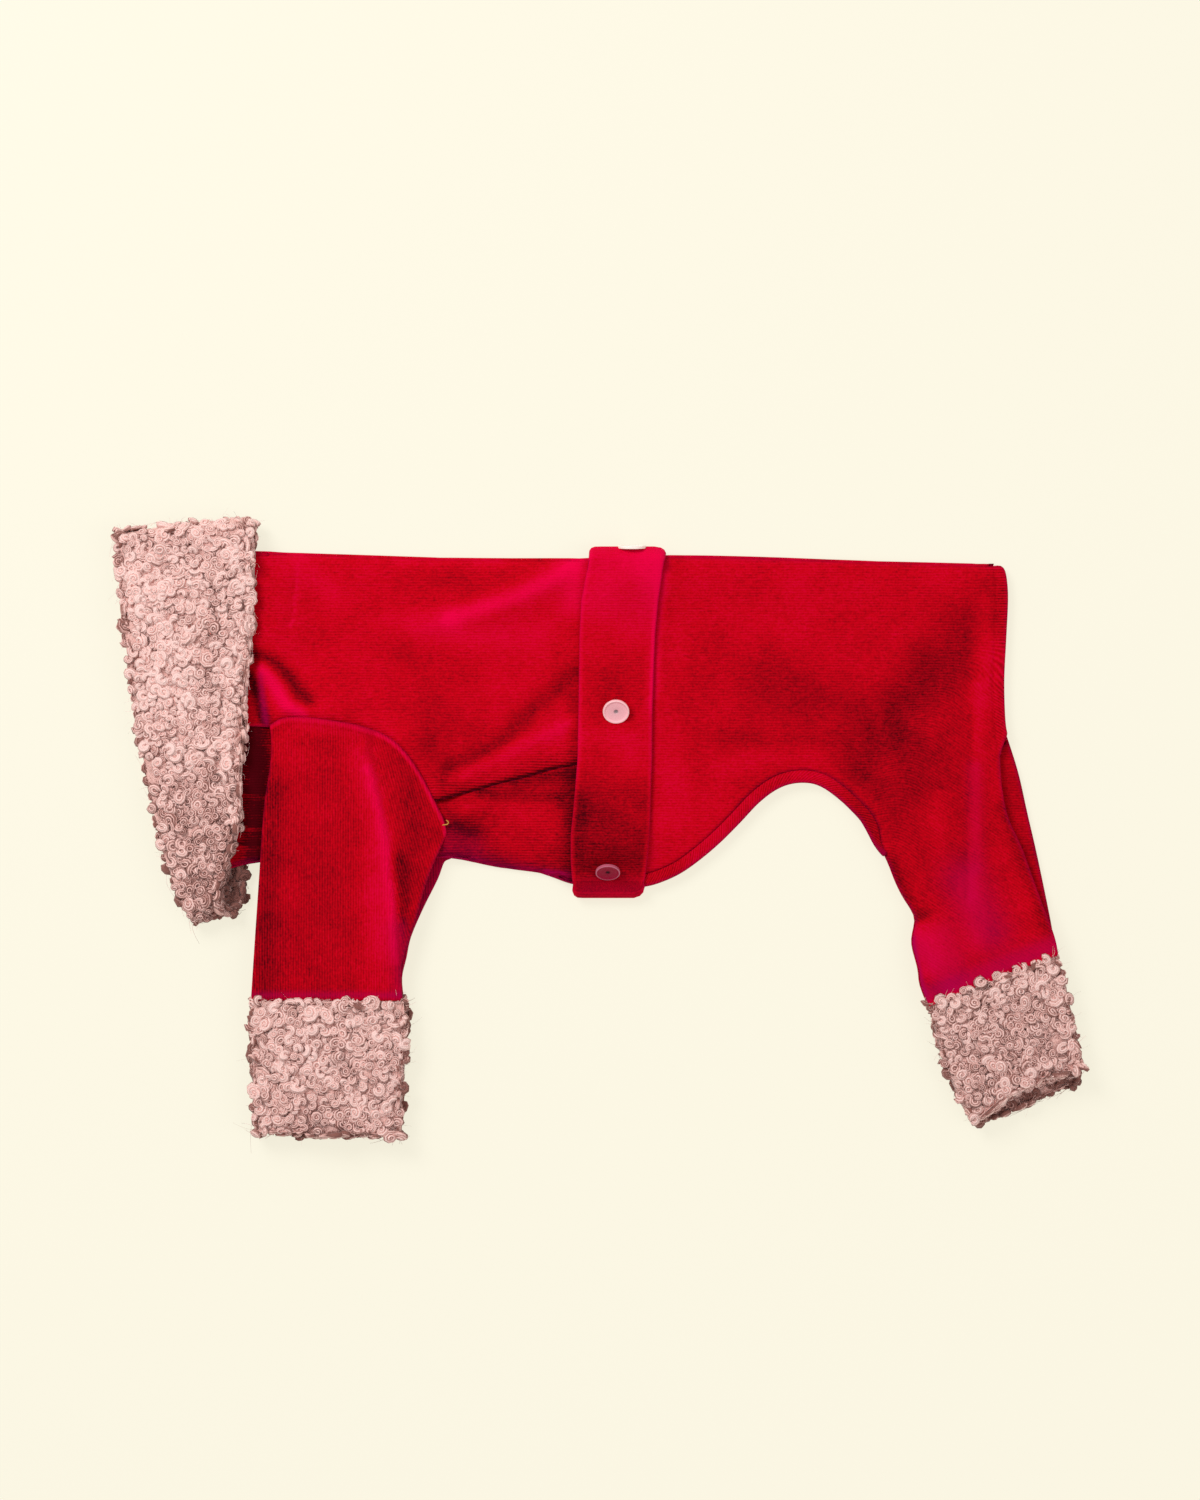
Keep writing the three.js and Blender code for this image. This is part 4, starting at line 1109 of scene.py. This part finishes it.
# %% [markdown]
# ## Belt
# The belt is one doubled band that runs round the whole body and is closed with press snaps. It
# is made as a ring of stations, each a row of points across the band. Its long edges are turned
# in, so they are soft and a little lower than the middle.

# %% Belt
BELT_SHARES = np.array([0, 0.02, 0.06, 0.14, 0.26, 0.38, 0.5, 0.62, 0.74, 0.86, 0.94, 0.98, 1])
# columns y, z
BELT_TOP_BEND = [
    (134, 13.2), (137, 11.2), (139.2, 9), (140.4, 6.4), (140.5, 4.2), (139.4, 2.2), (137, 1),
]
BELT_LOW_BEND = [(-29, 0.8), (-32, 1.1), (-33.6, 2.4), (-34.2, 4.2), (-33.6, 6.4), (-31.4, 8.2)]
LEFT_CORNER, RIGHT_CORNER, TOP_CORNER = 3, 5, 0.6
BELT_WIDTH, BELT_CUT_WIDTH = 36, 36.5


def belt_surface(x, y):
    far = far_height(x, y)
    over_belly = (x < 6) & (y < belly_line(x) + 20)
    belly = rounded(near_height(x, y), far, y - belly_line(x), 8)
    back = rounded(near_height(x, y), far, back_line(x) - y, 11)
    return np.where(over_belly, belly, back) + BELT_CLEAR


def belt_corner(x, left, right):
    """How far the lower edge rises in its two rounded corners."""
    rise = 0
    for away, reach in ((x - left, LEFT_CORNER), (right - x, RIGHT_CORNER)):
        share = np.clip(1 - away / reach, 0, 1)
        rise = rise + reach * (1 - np.sqrt(1 - share**2))
    return rise


def belt_ring():
    stations = []
    near_rows = np.arange(-26, 131, 2.5)
    for y in near_rows:
        left, right = look_up(BELT_EDGES, y, 1), look_up(BELT_EDGES, y, 2)
        x = blend(left, right, BELT_SHARES)
        stations.append(np.column_stack([x, np.full_like(x, y), belt_surface(x, np.full_like(x, y))]))
    for y, z in [*BELT_TOP_BEND, *[(y, FAR_REST) for y in np.arange(130, -27, -8)], *BELT_LOW_BEND]:
        left, right = look_up(BELT_EDGES, y, 1), look_up(BELT_EDGES, y, 2)
        x = blend(left, right, BELT_SHARES)
        rise = soften((-28 - y) / 4) - TOP_CORNER * soften((y - 132) / 6)
        raised = y + belt_corner(x, left, right) * rise
        stations.append(np.column_stack([x, raised, np.full_like(x, z)]))
    return np.array(stations), len(near_rows)


belt_grid, belt_near = belt_ring()
edge_drop = 0.7 * (1 - np.sin(np.pi * BELT_SHARES) ** 0.35)
belt_grid[:belt_near, :, 2] -= edge_drop
count, width = belt_grid.shape[:2]
belt_points = belt_grid.reshape(-1, 3)
belt_faces = grid_faces(count, width, round_rows=True)[:, OTHER_WAY]
middle_line = belt_grid[:, width // 2]
travel = np.linalg.norm(np.diff(middle_line, axis=0, prepend=middle_line[:1]), axis=1)
belt_length = travel.sum() + np.linalg.norm(middle_line[-1] - middle_line[0])
belt_map = np.column_stack([belt_points[:, 0], np.repeat(np.cumsum(travel), width)])
from_side = np.tile(np.minimum(BELT_SHARES, 1 - BELT_SHARES) * BELT_WIDTH, count)
# both long edges get a painted highlight and a fine painted purple sheen
belt = thicken(make_piece("belt_cloth", belt_points, belt_faces, VELOUR_FINISH, belt_map, {
    "nap_and_light": strokes(belt_points, BELT_NAP_AND_LIGHT) + 0.6 * np.exp(-((from_side / 1.2) ** 2)),
    "painted_sheen": 0.25 * np.exp(-((from_side / 0.5) ** 2)) + strokes(belt_points, BELT_PAINTED_SHEEN),
    "ribbed": np.full(len(belt_points), 0.5),
}))
belt_size = (BELT_CUT_WIDTH * MM, belt_length * MM)
lay(belt, "belt", belt_size)

# %% [markdown]
# ## Boucle
# Boucle is a looped yarn that curls up into little buttons on a soft backing. The backing is
# taken from the measured solid, rounded and drawn in a little to leave room. The curls are
# real yarn tubes. A few kinds are modelled once, then copied all over with their own turn,
# tilt and size. Their colour has painted shade in the crevices between them and low down, and
# painted light on their tops, and a fine swirl follows the yarn round.

# %% Boucle finish
# pale is painted light on the tops of the curls, dark is painted shade in their crevices
WOOL_PALE = screen(252, 214, 207)
WOOL_MIDDLE = screen(232, 182, 173)
WOOL_DARK = screen(140, 92, 84)
FIBRE_SPACING = 1.15
TINT_SHARE = 0.5


def boucle_finish(name, base_shade):
    finish = Finish(name)
    place = finish.node("ShaderNodeTexCoord", {}, {}, "Object")
    fibre = finish.noise(place, 1500, 2.0)
    patch = finish.noise(place, 60, 2.0)
    height = finish.attribute("height")
    tone_and_shade = finish.attribute("tone_and_shade")
    ring = finish.attribute("ring")
    swirl = (ring * (2 * math.pi / FIBRE_SPACING) + fibre * 2.5).sine()
    # the height on a curl becomes painted light on top and painted shade below; the second number adds
    # random tone and painted shade
    light = height * 1.2 + tone_and_shade * TINT_SHARE + (patch - 0.5) * 0.4
    light = light + (fibre - 0.5) * 0.9 + swirl * 0.34 + base_shade
    low = finish.mix((light * 2).held(), WOOL_DARK, WOOL_MIDDLE)
    colour = finish.mix((light * 2 - 1).held(), low, WOOL_PALE)
    return finish.surface(colour, swirl * 0.5 + fibre, 0.7, 0.4, {
        "Roughness": 1.0, "Specular IOR Level": 0.05, "Sheen Weight": 0.25,
        "Sheen Roughness": 0.5, "Sheen Tint": (1.0, 0.88, 0.84, 1),
    })


BOUCLE_CURL = boucle_finish("boucle_curl", -0.07)
BOUCLE_BACKING = boucle_finish("boucle_backing", 0.2)

# %% [markdown]
# ### One curl
# A curl starts as a small disc, the cut end of the yarn. The disc is extruded and turned about
# the curl's middle in steps, and drawn in or lifted a little each time, so the tube winds into
# a button, a snail or a comma. Five sides are enough, because smooth shading rounds them. A small
# ball closes the middle of the tighter ones.

# %% Model the curls
YARN_SIDES = 5
# columns name, share, ring radius, yarn radius, turn in degrees, steps, drawn in, lift, flatness,
# radius of the ball
CURL_KINDS = [
    ("roll", 0.36, 2.5, 1.45, 560, 12, 0.91, 0.9, 0.8, 1.4),
    ("rosette", 0.26, 3.3, 1.7, 640, 14, 0.915, 1.4, 0.75, 1.7),
    ("button", 0.26, 1.7, 1.8, 350, 9, 0.985, 0.3, 0.78, 1.3),
    ("comma", 0.09, 2.2, 1.7, 230, 7, 0.96, 0.3, 0.8, 0),
    ("wave", 0.03, 4.2, 1.6, 100, 6, 0.985, 0.2, 0.8, 0),
]
BLUNT_END = 0.45
HEART_SUNK = 0.6


def model_curl(name, ring, yarn, turn, steps, drawn, lift, flatness, heart):
    """Winds yarn about its own middle. Returns points, faces and distances from the middle."""
    bpy.ops.object.select_all(action="DESELECT")
    bpy.ops.mesh.primitive_circle_add(
        vertices=YARN_SIDES, radius=yarn * BLUNT_END * MM, fill_type="NGON",
        location=(ring * MM, 0, 0), rotation=(math.pi / 2, 0, 0),
    )
    curl = bpy.context.object
    curl.name = name
    bpy.ops.object.transform_apply(location=True, rotation=True, scale=True)
    bpy.ops.object.mode_set(mode="EDIT")
    bpy.ops.mesh.select_all(action="SELECT")
    middle, each_turn = (0, 0, 0), math.radians(turn / steps)
    for step in range(1, steps + 1):
        bpy.ops.mesh.extrude_region_move()
        bpy.ops.transform.rotate(value=each_turn, orient_axis="Z", center_override=middle)
        bpy.ops.transform.resize(value=(drawn, drawn, 1), center_override=middle)
        bpy.ops.transform.translate(value=(0, 0, lift / steps * MM))
        growth = {1: 1 / BLUNT_END, steps: BLUNT_END}.get(step, 1)
        rim = [v.co for v in bmesh.from_edit_mesh(curl.data).verts if v.select]
        disc = sum(rim, Vector()) / len(rim)
        bpy.ops.transform.resize(value=(growth, growth, growth), center_override=disc)
    if heart:
        bpy.ops.mesh.primitive_ico_sphere_add(
            subdivisions=1, radius=heart * MM, location=(0, 0, (lift - heart * HEART_SUNK) * MM),
        )
    bpy.ops.mesh.select_all(action="SELECT")
    bpy.ops.transform.resize(value=(1, 1, flatness), center_override=middle)
    bpy.ops.mesh.normals_make_consistent(inside=False)
    bpy.ops.object.mode_set(mode="OBJECT")
    points = np.array([v.co for v in curl.data.vertices]) / MM
    faces = [tuple(face.vertices) for face in curl.data.polygons]
    bpy.data.objects.remove(curl)
    print("curl", name, "faces:", len(faces), "size:", np.round(np.ptp(points, axis=0), 1))
    from_middle = np.linalg.norm(points[:, :2], axis=1)
    return points - (points.min(0) + points.max(0)) / 2, faces, from_middle


CURLS = [model_curl(name, *sizes) for name, _, *sizes in CURL_KINDS]
CURL_SHARES = [row[1] for row in CURL_KINDS]

# %% [markdown]
# ### The backing and its curls
# A copy of the measured solid is merged, rounded by subdivision and pressed in by the height
# of the curls, but only where it faces out. A ray from each face tells which do: a ray
# that soon meets cloth again starts in the hollow or between two layers, and gets no curls.

# %% Backing
BACKING_ROUNDS = 2
BACKING_INSET = 2.2
LAYER_REACH = 5.5
solid_points, solid_faces = [], []
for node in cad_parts.values():
    shift = len(solid_points)
    solid_points += [v.co.copy() for v in node.data.vertices]
    solid_faces += [tuple(shift + i for i in face.vertices) for face in node.data.polygons]
SOLIDS = BVHTree.FromPolygons(solid_points, solid_faces)


def faces_out(place, normal):
    """True where no other cloth lies close in front, and it isn't the underside on the table."""
    if place.z < 1.4 * MM and normal.z < -0.4:
        return False
    start, reach = place + normal * 0.1 * MM, LAYER_REACH * MM
    hit, hit_normal, _, distance = SOLIDS.ray_cast(start, normal, reach)
    while hit is not None and hit_normal.dot(normal) > 0 and reach > distance:
        start, reach = hit + normal * 0.05 * MM, reach - distance
        hit, hit_normal, _, distance = SOLIDS.ray_cast(start, normal, reach)
    return hit is None


def fitted(node, places):
    """Small shifts, in millimetres, that make up for how far the curls stand out at an edge."""
    x, y = places[:, 0], places[:, 1]
    shift = np.zeros((len(x), 3))
    if node == "collar":
        right = soften((x + 181) / 6)
        shift[:, 0] = (0.2 + 1.1 * soften((70 - y) / 110)) * soften((-186 - x) / 25)
        shift[:, 0] -= (1 + 0.6 * soften((95 - y) / 15)) * right
        shift[:, 1] = 3 * soften((y - 136) / 12) * (1 - 0.9 * right)
    if node == "cuff_front_near":
        shift[:, 1] = 1.2 * soften((-149 - y) / 5) - 1.6 * soften((y + 92) / 6)
    return shift


def backing(name, node):
    """A rounded copy of a measured solid, pressed in where it faces out."""
    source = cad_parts[node]
    piece = bpy.data.objects.new(name, source.data.copy())
    bpy.context.collection.objects.link(piece)
    bpy.ops.object.select_all(action="DESELECT")
    piece.select_set(True)
    bpy.context.view_layer.objects.active = piece
    bpy.ops.object.mode_set(mode="EDIT")
    bpy.ops.mesh.select_all(action="SELECT")
    bpy.ops.mesh.remove_doubles(threshold=0.01 * MM)
    bpy.ops.mesh.tris_convert_to_quads(face_threshold=math.pi, shape_threshold=math.pi)
    bpy.ops.object.mode_set(mode="OBJECT")
    rounder = piece.modifiers.new("rounder", "SUBSURF")
    rounder.levels = rounder.render_levels = BACKING_ROUNDS
    bpy.ops.object.modifier_apply(modifier="rounder")
    vertices = piece.data.vertices
    out = np.array([faces_out(v.co, v.normal) for v in vertices])
    normals = np.array([v.normal for v in vertices])
    places = np.array([v.co for v in vertices]) - normals * (out * BACKING_INSET * MM)[:, None]
    places[:, 2] = np.maximum(places[:, 2], 0)
    places += fitted(node, places / MM) * MM
    vertices.foreach_set("co", places.astype(np.float32).ravel())
    piece.data.materials.clear()
    piece.data.materials.append(BOUCLE_BACKING)
    piece.data.update()
    bpy.ops.object.shade_smooth()
    return piece


# %% Scatter
CURL_SPACING = 3.2
CURL_SEAT = 0.8
CURL_LEAN = 0.22
SHADE_LEVEL, SHADE_DEPTH = 8.5, 1.1
# columns reach, shade, and the points that the shade runs through
WOOL_SHADE = [
    (26, -0.45, (-202, 4), (-198, -45)), (3.5, -0.3, (-194, 130), (-194, 20)),
    (8, 0.2, (-225, 120), (-216, 60)), (10, -0.2, (-120, -148), (-150, -150)),
    (90, -0.12, (-170, -120), (-100, -120)), (90, -0.3, (200, -110), (230, -110)),
    (7, -1.0, (-179, -8), (-179, -40)),
]


def surface_places(piece, spacing, random):
    """Random places on a mesh, none nearer to another than the spacing, with their normals."""
    mesh = piece.data
    mesh.calc_loop_triangles()
    corners = np.array([t.vertices for t in mesh.loop_triangles])
    co = np.array([v.co for v in mesh.vertices]) / MM
    a, b, c = (co[corners[:, i]] for i in range(3))
    cross = np.cross(b - a, c - a)
    area = np.linalg.norm(cross, axis=1)
    tries = int(area.sum() / 2 / spacing**2 * 14)
    chosen = random.choice(len(corners), tries, p=area / area.sum())
    share = random.random((tries, 2))
    share = np.where(share.sum(1, keepdims=True) > 1, 1 - share, share)
    mix = np.column_stack([1 - share.sum(1), share])
    places = np.einsum("ij,ijk->ik", mix, co[corners[chosen]])
    facing = cross[chosen] / area[chosen][:, None]
    taken, kept = {}, []
    for i, p in enumerate(places):
        cell = tuple((p // spacing).astype(int))
        around = [(cell[0] + x, cell[1] + y, cell[2] + z)
                  for x in (-1, 0, 1) for y in (-1, 0, 1) for z in (-1, 0, 1)]
        clear = all(np.sum((p - q) ** 2) >= spacing**2 for k in around for q in taken.get(k, ()))
        if clear and faces_out(Vector(p * MM), Vector(facing[i])):
            taken.setdefault(cell, []).append(p)
            kept.append(i)
    return places[kept], facing[kept]


def wool_shade(place):
    """How much painted shade the wool gets low down, with the painted light and shade of the strokes.
    The collar's open side stays light.
    """
    lit_side = soften((-186 - place[0]) / 12) * soften(place[1] / 20)
    low = soften((SHADE_LEVEL - place[2]) / 4) * (1 - 0.75 * lit_side)
    return strokes(place[None], WOOL_SHADE)[0] - SHADE_DEPTH * low


def one_curl(place, normal, random):
    """A copied curl with its own size, turn and tilt, and the numbers that its finish reads."""
    shape, faces, ring = CURLS[random.choice(len(CURLS), p=CURL_SHARES)]
    tilt = Vector(random.normal(0, CURL_LEAN, 3)) + Vector(normal)
    spin = Matrix.Rotation(random.uniform(0, 2 * math.pi), 3, "Z")
    turn = np.array(tilt.normalized().to_track_quat("Z", "Y").to_matrix() @ spin)
    mirrored = random.choice([-1, 1])
    local = shape * (1, mirrored, 1) * random.uniform(0.75, 1.25) * random.uniform(0.88, 1.14, 3)
    local[:, 0] += local[:, 1] * random.normal(0, 0.15)
    points = local @ turn.T + place + normal * (CURL_SEAT + random.normal(0, 0.4))
    # the height on the curl is turned into painted light and shade by the finish
    height = np.clip(local[:, 2] / 1.6 * 0.5 + 0.5, 0, 1)
    tone_and_shade = np.full(len(shape), random.uniform(-0.5, 0.5) + wool_shade(place) / TINT_SHARE)
    return points, [face[::mirrored] for face in faces], height, ring, tone_and_shade


# %% Tubes
def tube(spine, side, up, radius, sides):
    """Points of a thin tube along a spine, one ring after another."""
    angles = np.arange(sides)[:, None] * 2 * math.pi / sides
    section = np.cos(angles) * side[:, None] + np.sin(angles) * up
    return (spine[:, None] + section * radius).reshape(-1, 3)


# %% Stray fibres
FIBRE_RADIUS = 0.12
FIBRE_RISE = 3
FIBRE_STEPS, FIBRE_SIDES = 5, 3
FIBRE_TAPER = 0.6
FIBRE_SPACE = 2.8
FIBRE_HEIGHT = 0.9


def one_fibre(place, normal, random):
    """A thin three-sided tube that leaves the curls and bends back over them."""
    across = np.cross(normal, random.normal(0, 1, 3))
    across /= np.linalg.norm(across)
    side = np.cross(across, normal)
    length, lift, bend = random.uniform(2.5, 6), random.uniform(0.1, 0.4), random.normal(0, 1.0)
    t = np.linspace(0, 1, FIBRE_STEPS + 1)[:, None]
    spine = place + normal * (1.6 + length * lift * t * (1.6 - t)) + across * length * t
    spine += side * length * bend * t**2
    spine[:, 2] = np.minimum(spine[:, 2], place[2] + FIBRE_RISE)
    radius = FIBRE_RADIUS * (1 - FIBRE_TAPER * t)[:, None]
    points = tube(spine, side[None], normal, radius, FIBRE_SIDES)
    faces = grid_faces(FIBRE_STEPS + 1, FIBRE_SIDES, round_columns=True)[:, OTHER_WAY]
    count = len(points)
    tone_and_shade = np.full(count, wool_shade(place) / TINT_SHARE)
    return points, faces, np.full(count, FIBRE_HEIGHT), np.zeros(count), tone_and_shade


def scatter(name, piece, one, spacing, seed):
    """One curl or fibre at each place, all joined into one piece."""
    random = np.random.default_rng(seed)
    places, facing = surface_places(piece, spacing, random)
    faces, columns = [], []
    total = 0
    for place, normal in zip(places, facing):
        points, own_faces, *marks = one(place, normal, random)
        faces += [tuple(total + i for i in face) for face in own_faces]
        columns.append(np.column_stack([points, *marks]))
        total += len(points)
    table = np.vstack(columns)
    points = table[:, :3]
    points[:, 2] = np.maximum(points[:, 2], 0.02)
    marks = dict(zip(("height", "ring", "tone_and_shade"), table[:, 3:].T))
    print(name, "copies:", len(places), "faces:", len(faces))
    return make_piece(name, points - CENTRE_SHIFT, faces, BOUCLE_CURL, marks=marks)


def trim(node, seed):
    """A boucle collar or cuff: its backing, its curls and the fibres that stray from them."""
    piece = backing(node + "_backing", node)
    curls = scatter(node + "_curls", piece, one_curl, CURL_SPACING, seed)
    fibres = scatter(node + "_fibres", piece, one_fibre, FIBRE_SPACE, seed + 50)
    sew(piece, node, slot="boucle")
    sew(curls, slot="boucle")
    sew(fibres, slot="boucle")


# %% Collar and cuffs
trim("collar", 3)
trim("cuff_front_near", 5)
trim("cuff_front_far", 6)
trim("cuff_hind_near", 7)
trim("cuff_hind_far", 8)

# %% [markdown]
# ## Press snaps
# The belt closes with pale plastic press snaps. Each cap is a disc with a soft rim, a shallow
# dish inside it and a dimple left by the setting tool. It is modelled once from a cylinder by
# insets and extrusions, rounded by a bevel, and each copy is laid where the belt carries it.

# %% Snap finish
def resin_finish(name, colour, rim_colour, dark, hazy, shine):
    finish = Finish(name)
    place = finish.node("ShaderNodeTexCoord", {}, {}, "Object")
    haze = finish.noise(place, 900, 2.0)
    cloudy = finish.mix(((haze - 0.45) * hazy).held(), colour, rim_colour)
    rimmed = finish.mix(finish.attribute("rim").held(), cloudy, rim_colour)
    # the dimple is painted dark, as painted shade in its hollow
    mixed = finish.mix(finish.attribute("dimple").held(), rimmed, dark)
    return finish.surface(mixed, haze, 0.1, 0.2, {"Roughness": 0.38, "Specular IOR Level": shine})


DIMPLE_PAINTED_SHADE = screen(140, 122, 126)
SNAP_PINK = resin_finish(
    "snap_resin", screen(255, 184, 192), screen(255, 206, 206), DIMPLE_PAINTED_SHADE, 0.8, 0.5
)
SNAP_PALE = resin_finish(
    "snap_resin_pale", screen(255, 232, 222), screen(255, 240, 232), DIMPLE_PAINTED_SHADE, 0.8, 0.5
)
SNAP_ROSE = resin_finish(
    "snap_resin_clear", screen(156, 4, 50), screen(206, 128, 150), screen(18, 8, 18), 0.1, 0.12
)

# %% Snap cap
SNAP_RADIUS = 6.95
SNAP_HEIGHT = 1.5
# columns inset, drop
SNAP_INSETS = [(0.9, 0), (0.5, -0.45), (4.3, 0), (0.35, -0.55)]


def select_top(cap, radius):
    """Selects the faces that look up within a radius of the middle."""
    bpy.ops.object.mode_set(mode="OBJECT")
    for face in cap.data.polygons:
        near_middle = math.hypot(face.center.x, face.center.y) < radius * MM
        face.select = face.normal.z > 0.9 and near_middle and len(face.vertices) > 4
    bpy.ops.object.mode_set(mode="EDIT")


def model_snap():
    bpy.ops.object.select_all(action="DESELECT")
    bpy.ops.mesh.primitive_cylinder_add(
        vertices=40, radius=SNAP_RADIUS * MM, depth=SNAP_HEIGHT * MM,
        location=(0, 0, SNAP_HEIGHT / 2 * MM),
    )
    cap = bpy.context.object
    bpy.ops.object.transform_apply(location=True, rotation=True, scale=True)
    bpy.ops.object.mode_set(mode="EDIT")
    bpy.ops.mesh.select_mode(type="FACE")
    for inset, drop in SNAP_INSETS:
        bpy.ops.mesh.select_all(action="DESELECT")
        select_top(cap, SNAP_RADIUS)
        bpy.ops.mesh.inset(thickness=inset * MM)
        bpy.ops.transform.translate(value=(0, 0, drop * MM))
    bpy.ops.object.mode_set(mode="OBJECT")
    bevel = cap.modifiers.new("soft_edges", "BEVEL")
    bevel.width, bevel.segments = 0.28 * MM, 3
    bevel.limit_method, bevel.angle_limit = "ANGLE", math.radians(30)
    bpy.ops.object.modifier_apply(modifier="soft_edges")
    bpy.ops.object.shade_smooth_by_angle(angle=math.radians(40))
    points = np.array([v.co for v in cap.data.vertices]) / MM
    faces = [tuple(face.vertices) for face in cap.data.polygons]
    bpy.data.objects.remove(cap)
    return points, faces


SNAP_SHAPE = model_snap()
DIMPLE = 1.3
MIDDLE_SIZE, MIDDLE_TILT, MIDDLE_LIFT = 0.95, 30, 1.2
LOWER_SIZE, LOWER_TILT, LOWER_LIFT = 0.88, 30, 1.3
LOWER_SHIFT, TOP_DROP = (0.4, 0, 0), (0, -1.8, -0.6)


def seated_snap(name, node, finish, size=1, tilt=0, lift=0, rim_width=0.5, shift=(0, 0, 0)):
    """A copy of the cap, laid over the measured one, and tilted about its middle."""
    points, faces = SNAP_SHAPE
    source = np.array([v.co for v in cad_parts[node].data.vertices]) / MM
    middle = source.mean(0)
    spread = np.linalg.svd(source - middle, full_matrices=False)[2]
    axis = spread[2] * (1 if spread[2][2] > 0 else -1)
    low = ((source - middle) @ axis).min()
    print(name, "leans by degrees:", round(math.degrees(math.atan2(-axis[1], axis[2]))))
    turn = np.array(Vector(axis).to_track_quat("Z", "Y").to_matrix())
    lean = np.array(Matrix.Rotation(math.radians(tilt), 3, "X"))
    placed = points * (size, size, 1) @ turn.T @ lean.T + middle + axis * (low + lift) + shift
    radius = np.hypot(points[:, 0], points[:, 1])
    dimple = np.exp(-((radius / DIMPLE) ** 4)) * (points[:, 2] > 0.3)
    rim = np.exp(-(((radius - SNAP_RADIUS + rim_width) / rim_width) ** 2))
    marks = {"dimple": dimple, "rim": rim}
    piece = make_piece(name, placed - CENTRE_SHIFT, faces, finish, marks=marks)
    sew(piece, node, slot="resin")


seated_snap("snap_cap_middle", "snap_middle", SNAP_PINK, MIDDLE_SIZE, MIDDLE_TILT, MIDDLE_LIFT, 0.3)
seated_snap(
    "snap_cap_lower", "snap_lower", SNAP_ROSE, LOWER_SIZE, LOWER_TILT, LOWER_LIFT, 0.3, LOWER_SHIFT
)
seated_snap("snap_cap_top", "snap_top", SNAP_PALE, shift=TOP_DROP)

# %% [markdown]
# ## A loose thread
# A short end of golden sewing thread curls out of the seam at the elbow. It is a thin tube along
# a smooth line through five points.

# %% Thread end
# columns x, y, height over the cloth
THREAD_LINE = [
    (-80, 1.3, 1.2), (-78.4, 1.8, 1.7), (-76.4, 2.1, 2.0), (-75.8, 3.2, 2.1), (-76.8, 4.2, 2.0),
]
THREAD_RADIUS, THREAD_SIDES = 0.3, 6
thread = Finish("thread")
THREAD_FINISH = thread.end(thread.node("ShaderNodeBsdfPrincipled", {}, {
    "Base Color": screen(196, 142, 62), "Roughness": 0.6, "Specular IOR Level": 0.2,
}))
thread_line = smooth_line(THREAD_LINE)
thread_line[:, 2] += near_height(thread_line[:, 0], thread_line[:, 1])
thread_ahead = np.gradient(thread_line, axis=0)
thread_side = np.cross(thread_ahead, (0, 0, 1))
thread_side /= np.linalg.norm(thread_side, axis=1)[:, None]
thread_points = tube(thread_line, thread_side, np.array((0, 0, 1)), THREAD_RADIUS, THREAD_SIDES)
thread_faces = grid_faces(len(thread_line), THREAD_SIDES, round_columns=True)
sew(make_piece("thread_end", thread_points, thread_faces, THREAD_FINISH))

# %% [markdown]
# The visual model is meant to keep inside the measured one, apart from the little that cloth and
# curls stand proud. Both boxes are printed, so they can be compared.

visual_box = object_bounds()
for title, (low, high) in (("measured", cad_box), ("visual", visual_box)):
    print(title, "box in mm:", [round(v / MM, 1) for v in (*low, *high)])
